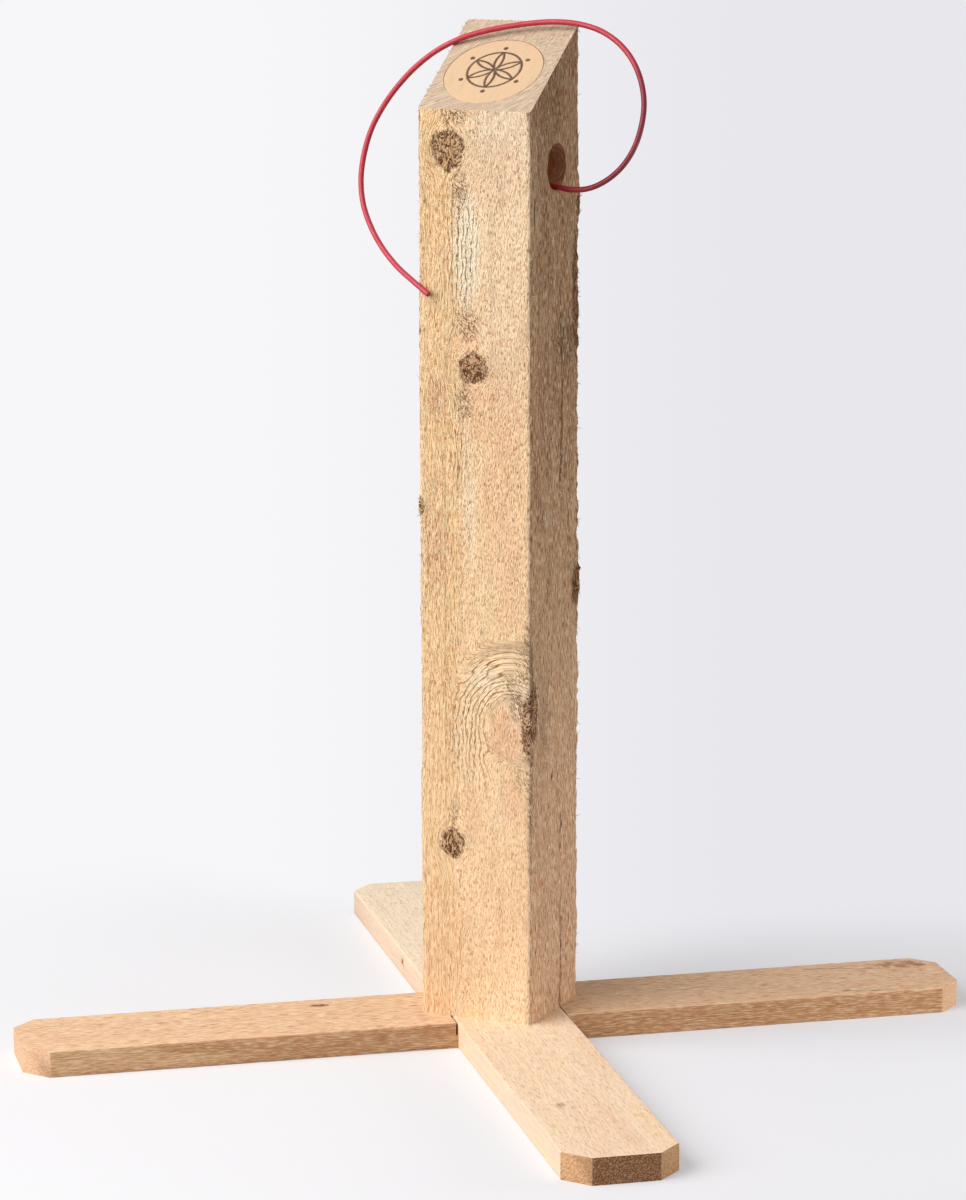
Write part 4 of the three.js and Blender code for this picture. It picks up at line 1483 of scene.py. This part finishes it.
def make_disc(settings):
    """The inlaid disc, with the rosette burnt into its face."""
    count = round(2 * DISC_RADIUS / DISC_STEP)
    line = np.linspace(-1, 1, count + 1)
    u, v = np.meshgrid(line, line)
    x, y = u * np.sqrt(1 - v * v / 2), v * np.sqrt(1 - u * u / 2)
    inner = DISC_RADIUS - DISC_BEVEL
    top = np.stack([x * inner, y * inner, 0 * x], axis=-1).reshape(-1, 3)
    burnt = rosette(top[:, 0], top[:, 1])
    top[:, 2] = -ROSETTE_DEPTH * burnt
    index = np.arange((count + 1) ** 2).reshape(count + 1, count + 1)
    rim = np.concatenate([index[0, :-1], index[:-1, -1], index[-1, :0:-1], index[:0:-1, 0]])
    faces = [(index[r, c], index[r, c + 1], index[r + 1, c + 1], index[r + 1, c])
             for r in range(count) for c in range(count)]
    ring = top[rim, :2] / np.linalg.norm(top[rim, :2], axis=1)[:, None] * DISC_RADIUS
    levels = [np.column_stack([ring, np.full(len(ring), height)])
              for height in (-DISC_BEVEL, -DISC_THICKNESS)]
    start, size = len(top), len(rim)
    faces += [(rim[(i + 1) % size], rim[i], start + i, start + (i + 1) % size) for i in range(size)]
    faces += [(start + (i + 1) % size, start + i, start + size + i, start + size + (i + 1) % size)
              for i in range(size)]
    faces.append(tuple(range(start + 2 * size - 1, start + size - 1, -1)))
    points = np.vstack([top, *levels])
    mesh = mesh_from("disc_sanded", points * MM, faces)
    burnt = np.r_[burnt, np.zeros(2 * size)]
    store(mesh, "disc", np.column_stack([points[:, 0], points[:, 1], burnt]))
    mesh.transform(POST_PLACE @ top_place())
    sharpen(mesh, math.radians(35))
    disc = new_object("disc_sanded", mesh)
    mesh.materials.append(disc_material(settings))
    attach(disc, "turning_post")
    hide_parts("top_disc")


# ---------------------------------------------------------------- the metal pieces


def metal_material(name, tint, rough):
    """Plated steel with a fine mottle and light scratches."""
    material, maker = new_material(name)
    place = maker.add("ShaderNodeTexCoord").outputs["Object"]
    mottle = maker.noise(place, 420.0, 3.0)
    scratch = maker.noise(maker.add("ShaderNodeMapping", {
        "Vector": place, "Scale": (300.0, 300.0, 2500.0)}).outputs["Vector"], 1.0, 2.0)
    paint = maker.mix(maker.ramp(mottle, 0.35, 0.7, 0.0, 0.4), tint, (0.42, 0.43, 0.46),
                      "MULTIPLY")
    surface(maker, {"Base Color": paint, "Metallic": 1.0,
                    "Roughness": maker.ramp(scratch, 0.3, 0.7, rough - 0.1, rough + 0.15)})
    return material


def finish_metal():
    """Gives the bolt, the washer, the insert and the wire their metals."""
    zinc = metal_material("Zinc Plate", srgb(200, 203, 206), 0.35)
    wire = metal_material("Spring Wire", srgb(150, 152, 156), 0.3)
    for name, metal in (("bolt", zinc), ("washer", zinc), ("threaded_insert", zinc),
                        ("cord_core", wire)):
        mesh = frame["nodes"][name].data
        mesh.materials.clear()
        mesh.materials.append(metal)


# ---------------------------------------------------------------- the cord


def smooth_route(route, steps):
    """Points on a smooth curve through the route, spaced by the roots of its chord lengths."""
    route = np.array(route, float)
    padded = np.vstack([2 * route[0] - route[1], route, 2 * route[-1] - route[-2]])
    points = []
    for before, start, end, after in zip(padded, padded[1:], padded[2:], padded[3:]):
        gaps = [math.sqrt(np.linalg.norm(far - near)) for near, far in
                ((before, start), (start, end), (end, after))]
        leave = ((start - before) / gaps[0] - (end - before) / (gaps[0] + gaps[1])
                 + (end - start) / gaps[1]) * gaps[1]
        arrive = ((end - start) / gaps[1] - (after - start) / (gaps[1] + gaps[2])
                  + (after - end) / gaps[2]) * gaps[1]
        for share in np.arange(steps) / steps:
            points.append(start + leave * share
                          + (3 * (end - start) - 2 * leave - arrive) * share ** 2
                          + (2 * (start - end) + leave + arrive) * share ** 3)
    points.append(route[-1])
    return np.array(points)


def sweep(points, radii, sides):
    """Rings of points round a line, carried along it without twisting."""
    ways = np.gradient(points, axis=0)
    ways /= np.linalg.norm(ways, axis=1)[:, None]
    side = np.cross(ways[0], (0, 0, 1))
    side /= np.linalg.norm(side)
    angles = np.arange(sides) * 2 * math.pi / sides
    rings = []
    for point, way, radius in zip(points, ways, radii):
        side = side - (side @ way) * way
        side /= np.linalg.norm(side)
        up = np.cross(way, side)
        spokes = np.cos(angles)[:, None] * side + np.sin(angles)[:, None] * up
        rings.append(point + radius * spokes)
    return np.array(rings)


def cord_material(settings):
    """Soft satin plastic with faint rubbed patches, a lengthwise drag and painted shade on the right
    loop.
    """
    material, maker = new_material("Red Cord Cover")
    along, around, painted_shade = maker.parts(maker.attribute("cord"))
    drag = maker.noise(maker.vector(maker.math("DIVIDE", along, 18.0),
                                    maker.math("MULTIPLY", around, 6.0), 0), 1.0, 3.0)
    wear_and_highlight = maker.noise(maker.vector(maker.math("DIVIDE", along, 7.0), around, 4.0), 1.0, 4.0, 0.6)
    paint = maker.mix(maker.ramp(drag, 0.35, 0.7, 0.0, 0.35), tuple(settings.cover),
                      (0.7, 0.55, 0.6), "MULTIPLY")
    paint = maker.mix(maker.ramp(wear_and_highlight, 0.6, 0.8, 0.0, 0.25), paint, (1.0, 0.45, 0.45), "SCREEN")
    # Painted shade: the cover is darkened on the right loop.
    paint = maker.mix(painted_shade, paint, (0.47, 0.32, 0.42), "MULTIPLY")
    rough = maker.ramp(wear_and_highlight, 0.3, 0.7, settings.gloss - 0.08, settings.gloss + 0.15)
    relief = maker.add("ShaderNodeBump", {"Height": maker.math("ADD", drag, wear_and_highlight),
                                          "Strength": 0.3, "Distance": 0.1 * MM})
    surface(maker, {"Base Color": paint, "Roughness": rough, "Normal": relief.outputs["Normal"]})
    return material


def make_cord(settings):
    """The cord's cover: a hollow tube along the route, with its cut end open."""
    route = smooth_route(CORD_ROUTE, CORD_STEPS_PER_POINT)
    steps = np.linalg.norm(np.diff(route, axis=0), axis=1)
    length = float(steps.sum())
    run = np.r_[0, np.cumsum(steps)]
    swell = 1 + 0.02 * lattice_noise(np.stack([run / 23, run * 0, run * 0], axis=1), 3)
    ends = 1 - 0.1 * smooth(run, length - 0.8, length)
    outer = sweep(route, CORD_RADIUS * swell * ends, CORD_SIDES)
    inner = sweep(route, np.full(len(route), CORD_BORE_RADIUS), CORD_SIDES)
    rings = np.concatenate([outer, inner[::-1]])
    count = len(rings)
    faces = []
    for ring in range(count):
        here, there = ring * CORD_SIDES, (ring + 1) % count * CORD_SIDES
        for side in range(CORD_SIDES):
            after = (side + 1) % CORD_SIDES
            faces.append((here + side, here + after, there + after, there + side))
    mesh = mesh_from("cord_red", rings.reshape(-1, 3) * MM, faces)
    lengthwise = np.repeat(np.concatenate([run, run[::-1]]), CORD_SIDES)
    around = np.tile(np.cos(np.arange(CORD_SIDES) * 2 * math.pi / CORD_SIDES), count)
    x, _, z = rings.reshape(-1, 3).T
    # Painted shade: the right loop, from the bore round to below the top, is darkened.
    painted_shade = smooth(x, 48, 90) * smooth(z, 728, 700)
    store(mesh, "cord", np.stack([lengthwise, around, painted_shade], axis=1))
    mesh.transform(POST_PLACE)
    sharpen(mesh, math.radians(50))
    cord = new_object("cord_red", mesh)
    mesh.materials.append(cord_material(settings))
    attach(cord, "turning_post")
    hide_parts("cord_cover")


# ---------------------------------------------------------------- the stage


def backdrop_colour(maker, settings, place):
    """The backdrop's colour at a place on the floor: a little darker to the camera's right.

    Near the camera and behind it, where right and left change places, it is the same all over.
    """
    x, y, _ = maker.parts(place)
    heading = Vector((math.cos(CAMERA_HEADING), math.sin(CAMERA_HEADING)))
    from_x = maker.math("SUBTRACT", x, CAMERA_PLACE.x)
    from_y = maker.math("SUBTRACT", y, CAMERA_PLACE.y)
    aside = maker.math("MULTIPLY_ADD", from_y, heading.y, maker.times(from_x, heading.x))
    ahead = maker.math("MULTIPLY_ADD", from_y, heading.x, maker.times(from_x, -heading.y))
    slant = maker.math("DIVIDE", aside, ahead)
    share = maker.times(maker.ramp(slant, -0.06, 0.07), maker.ramp(ahead, 0.3, 2.3))
    return maker.mix(share, tuple(settings.backdrop), tuple(settings.dim))


def seen_share(maker):
    """1 for rays that show a surface to the camera, on their own or by way of a shine."""
    path = maker.add("ShaderNodeLightPath").outputs
    return maker.math("MAXIMUM", path["Is Camera Ray"],
                      maker.math("MAXIMUM", path["Is Glossy Ray"], path["Is Transmission Ray"]))


def floor_material(settings):
    """A pale floor that takes shadows near the object and melts into the backdrop far away."""
    material, maker = new_material("Pale Floor")
    place = maker.add("ShaderNodeTexCoord").outputs["Object"]
    x, y, _ = maker.parts(place)
    behind = maker.times(maker.math("MAXIMUM", y, 0.0), maker.ramp(x, -0.2, 0.2, 0.5, 2.0))
    away = maker.math("ADD", maker.math("ABSOLUTE", y), behind)
    far = maker.math("SQRT", maker.math("ADD", maker.times(x, x), maker.times(away, away)))
    fade = maker.ramp(far, settings.floor_radius, 2.2 * settings.floor_radius, 0.3, 1.0)
    speck = maker.noise(place, 900.0, 2.0)
    tint = maker.mix(maker.ramp(speck, 0.3, 0.7, 0.0, 0.02), tuple(settings.floor),
                     (0.5, 0.5, 0.5), "MULTIPLY")
    seen = seen_share(maker)
    unseen = maker.math("SUBTRACT", 1.0, seen)
    tint = maker.mix(maker.times(fade, unseen), tint, (0.02, 0.02, 0.02))
    matt = maker.add("ShaderNodeBsdfDiffuse", {"Color": tint})
    glow = maker.add("ShaderNodeEmission", {"Color": backdrop_colour(maker, settings, place),
                                            "Strength": 1.0})
    mixed = maker.add("ShaderNodeMixShader", {
        0: maker.times(fade, seen), 1: matt.outputs[0], 2: glow.outputs[0]})
    maker.add("ShaderNodeOutputMaterial", {"Surface": mixed.outputs[0]})
    return material


def make_world(settings):
    """Even soft light from all round, which the camera sees as the backdrop's colour."""
    world = bpy.data.worlds.new("Soft Room")
    world.use_nodes = True
    world.node_tree.nodes.clear()
    maker = NodeMaker(world.node_tree)
    seen = seen_share(maker)
    light = maker.add("ShaderNodeBackground", {"Color": (0.95, 0.97, 1.0, 1),
                                               "Strength": settings.ambient})
    shown = maker.add("ShaderNodeBackground", {"Color": (*settings.backdrop, 1), "Strength": 1.0})
    mixed = maker.add("ShaderNodeMixShader", {0: seen, 1: light.outputs[0], 2: shown.outputs[0]})
    maker.add("ShaderNodeOutputWorld", {"Surface": mixed.outputs[0]})
    bpy.context.scene.world = world


# The lamps, with their places, the points they look at and their widths in metres.
Lamp = namedtuple("Lamp", "name place target size tint")
KEY_LAMP = Lamp("key_left", (-2.6, -0.75, 2.2), (0, 0, 0.3), 3.2, (1, 0.98, 0.96))
FILL_LAMP = Lamp("fill_right", (1.1, -0.45, 0.15), (0, 0, 0.05), 0.5, (1, 0.97, 0.94))
FLOOR_REACH = 20.0


def add_area_light(lamp, power):
    """A soft square light that looks at a point."""
    light = bpy.data.lights.new(lamp.name, "AREA")
    light.shape = "SQUARE"
    light.size = lamp.size
    light.energy = power
    light.color = lamp.tint
    holder = bpy.data.objects.new(lamp.name, light)
    holder.location = lamp.place
    look = Vector(lamp.target) - Vector(lamp.place)
    holder.rotation_euler = look.to_track_quat("-Z", "Y").to_euler()
    holder.visible_camera = False
    bpy.context.scene.collection.objects.link(holder)


def make_floor(settings):
    """A wide flat floor under the object."""
    corners = [(x * FLOOR_REACH, y * FLOOR_REACH, 0)
               for x, y in ((-1, -1), (1, -1), (1, 1), (-1, 1))]
    floor = new_object("floor", mesh_from("floor", corners, [(0, 1, 2, 3)]))
    floor.data.materials.append(floor_material(settings))


def make_camera():
    """The camera where the photograph was taken from."""
    camera = bpy.data.cameras.new("photo_camera")
    camera.sensor_width = 36
    camera.lens = CAMERA_LENS
    camera.clip_start, camera.clip_end = 0.1, 60
    viewer = bpy.data.objects.new("photo_camera", camera)
    turn = (Matrix.Rotation(CAMERA_HEADING, 4, "Z")
            @ Matrix.Rotation(math.pi / 2 - CAMERA_DIP, 4, "X")
            @ Matrix.Rotation(CAMERA_ROLL, 4, "Z"))
    viewer.matrix_world = Matrix.Translation(CAMERA_PLACE) @ turn
    bpy.context.scene.collection.objects.link(viewer)
    bpy.context.scene.camera = viewer


# ---------------------------------------------------------------- operators


class SetStage(bpy.types.Operator):
    """Sets up the camera, the floor, the lamps and the world"""
    bl_idname = "scratchpost.set_stage"
    bl_label = "Set Stage"

    def execute(self, context):
        settings = context.scene.scratchpost_stage
        make_camera()
        make_world(settings)
        add_area_light(KEY_LAMP, settings.key)
        add_area_light(FILL_LAMP, settings.fill)
        make_floor(settings)
        context.scene.view_settings.view_transform = "Standard"
        return {"FINISHED"}


class LayCord(bpy.types.Operator):
    """Lays the red play cord along its route"""
    bl_idname = "scratchpost.lay_cord"
    bl_label = "Lay Cord"

    def execute(self, context):
        make_cord(context.scene.scratchpost_cord)
        return {"FINISHED"}


class SawPost(bpy.types.Operator):
    """Makes the rough-sawn post"""
    bl_idname = "scratchpost.saw_post"
    bl_label = "Saw Post"

    def execute(self, context):
        make_post(context.scene.scratchpost_wood, context.scene.scratchpost_post)
        return {"FINISHED"}


class GrowFibres(bpy.types.Operator):
    """Grows loose fibres on the post's furry places"""
    bl_idname = "scratchpost.grow_fibres"
    bl_label = "Grow Fibres"

    def execute(self, context):
        make_fibres(context.scene.scratchpost_wood, context.scene.scratchpost_post)
        return {"FINISHED"}


class InlayDisc(bpy.types.Operator):
    """Makes the sanded disc with its burnt rosette"""
    bl_idname = "scratchpost.inlay_disc"
    bl_label = "Inlay Disc"

    def execute(self, context):
        make_disc(context.scene.scratchpost_wood)
        return {"FINISHED"}


class LapCross(bpy.types.Operator):
    """Makes the two boards of the cross"""
    bl_idname = "scratchpost.lap_cross"
    bl_label = "Lap Cross"

    def execute(self, context):
        make_cross(context.scene.scratchpost_wood)
        return {"FINISHED"}


class PlateMetal(bpy.types.Operator):
    """Gives the fastener and the cord's wire their metals"""
    bl_idname = "scratchpost.plate_metal"
    bl_label = "Plate Metal"

    def execute(self, context):
        finish_metal()
        return {"FINISHED"}


class ScratchpostPanel(bpy.types.Panel):
    """Lists the settings and the operators"""
    bl_idname = "VIEW3D_PT_scratchpost"
    bl_label = "Scratching Post"
    bl_space_type = "VIEW_3D"
    bl_region_type = "UI"
    bl_category = "Scratching Post"

    def draw(self, context):
        for name, group in SETTINGS.items():
            box = self.layout.box()
            for key in group.__annotations__:
                box.prop(getattr(context.scene, name), key)
        for operator in OPERATORS:
            self.layout.operator(operator.bl_idname)


SETTINGS = {
    "scratchpost_wood": WoodSettings, "scratchpost_post": PostSettings,
    "scratchpost_cord": CordSettings, "scratchpost_stage": StageSettings,
}
OPERATORS = (SetStage, LayCord, SawPost, GrowFibres, InlayDisc, LapCross, PlateMetal)


def register():
    """Adds the settings, the operators and the panel to Blender."""
    for name, group in SETTINGS.items():
        bpy.utils.register_class(group)
        setattr(bpy.types.Scene, name, bpy.props.PointerProperty(type=group))
    for operator in OPERATORS:
        bpy.utils.register_class(operator)
    bpy.utils.register_class(ScratchpostPanel)


def unregister():
    """Takes them away again."""
    bpy.utils.unregister_class(ScratchpostPanel)
    for operator in reversed(OPERATORS):
        bpy.utils.unregister_class(operator)
    for name, group in SETTINGS.items():
        delattr(bpy.types.Scene, name)
        bpy.utils.unregister_class(group)


def main():
    """Makes every piece in order."""
    register()
    bpy.ops.scratchpost.set_stage()
    bpy.ops.scratchpost.lay_cord()
    bpy.ops.scratchpost.saw_post()
    bpy.ops.scratchpost.grow_fibres()
    bpy.ops.scratchpost.inlay_disc()
    bpy.ops.scratchpost.lap_cross()
    bpy.ops.scratchpost.plate_metal()


if __name__ == "__main__":
    main()
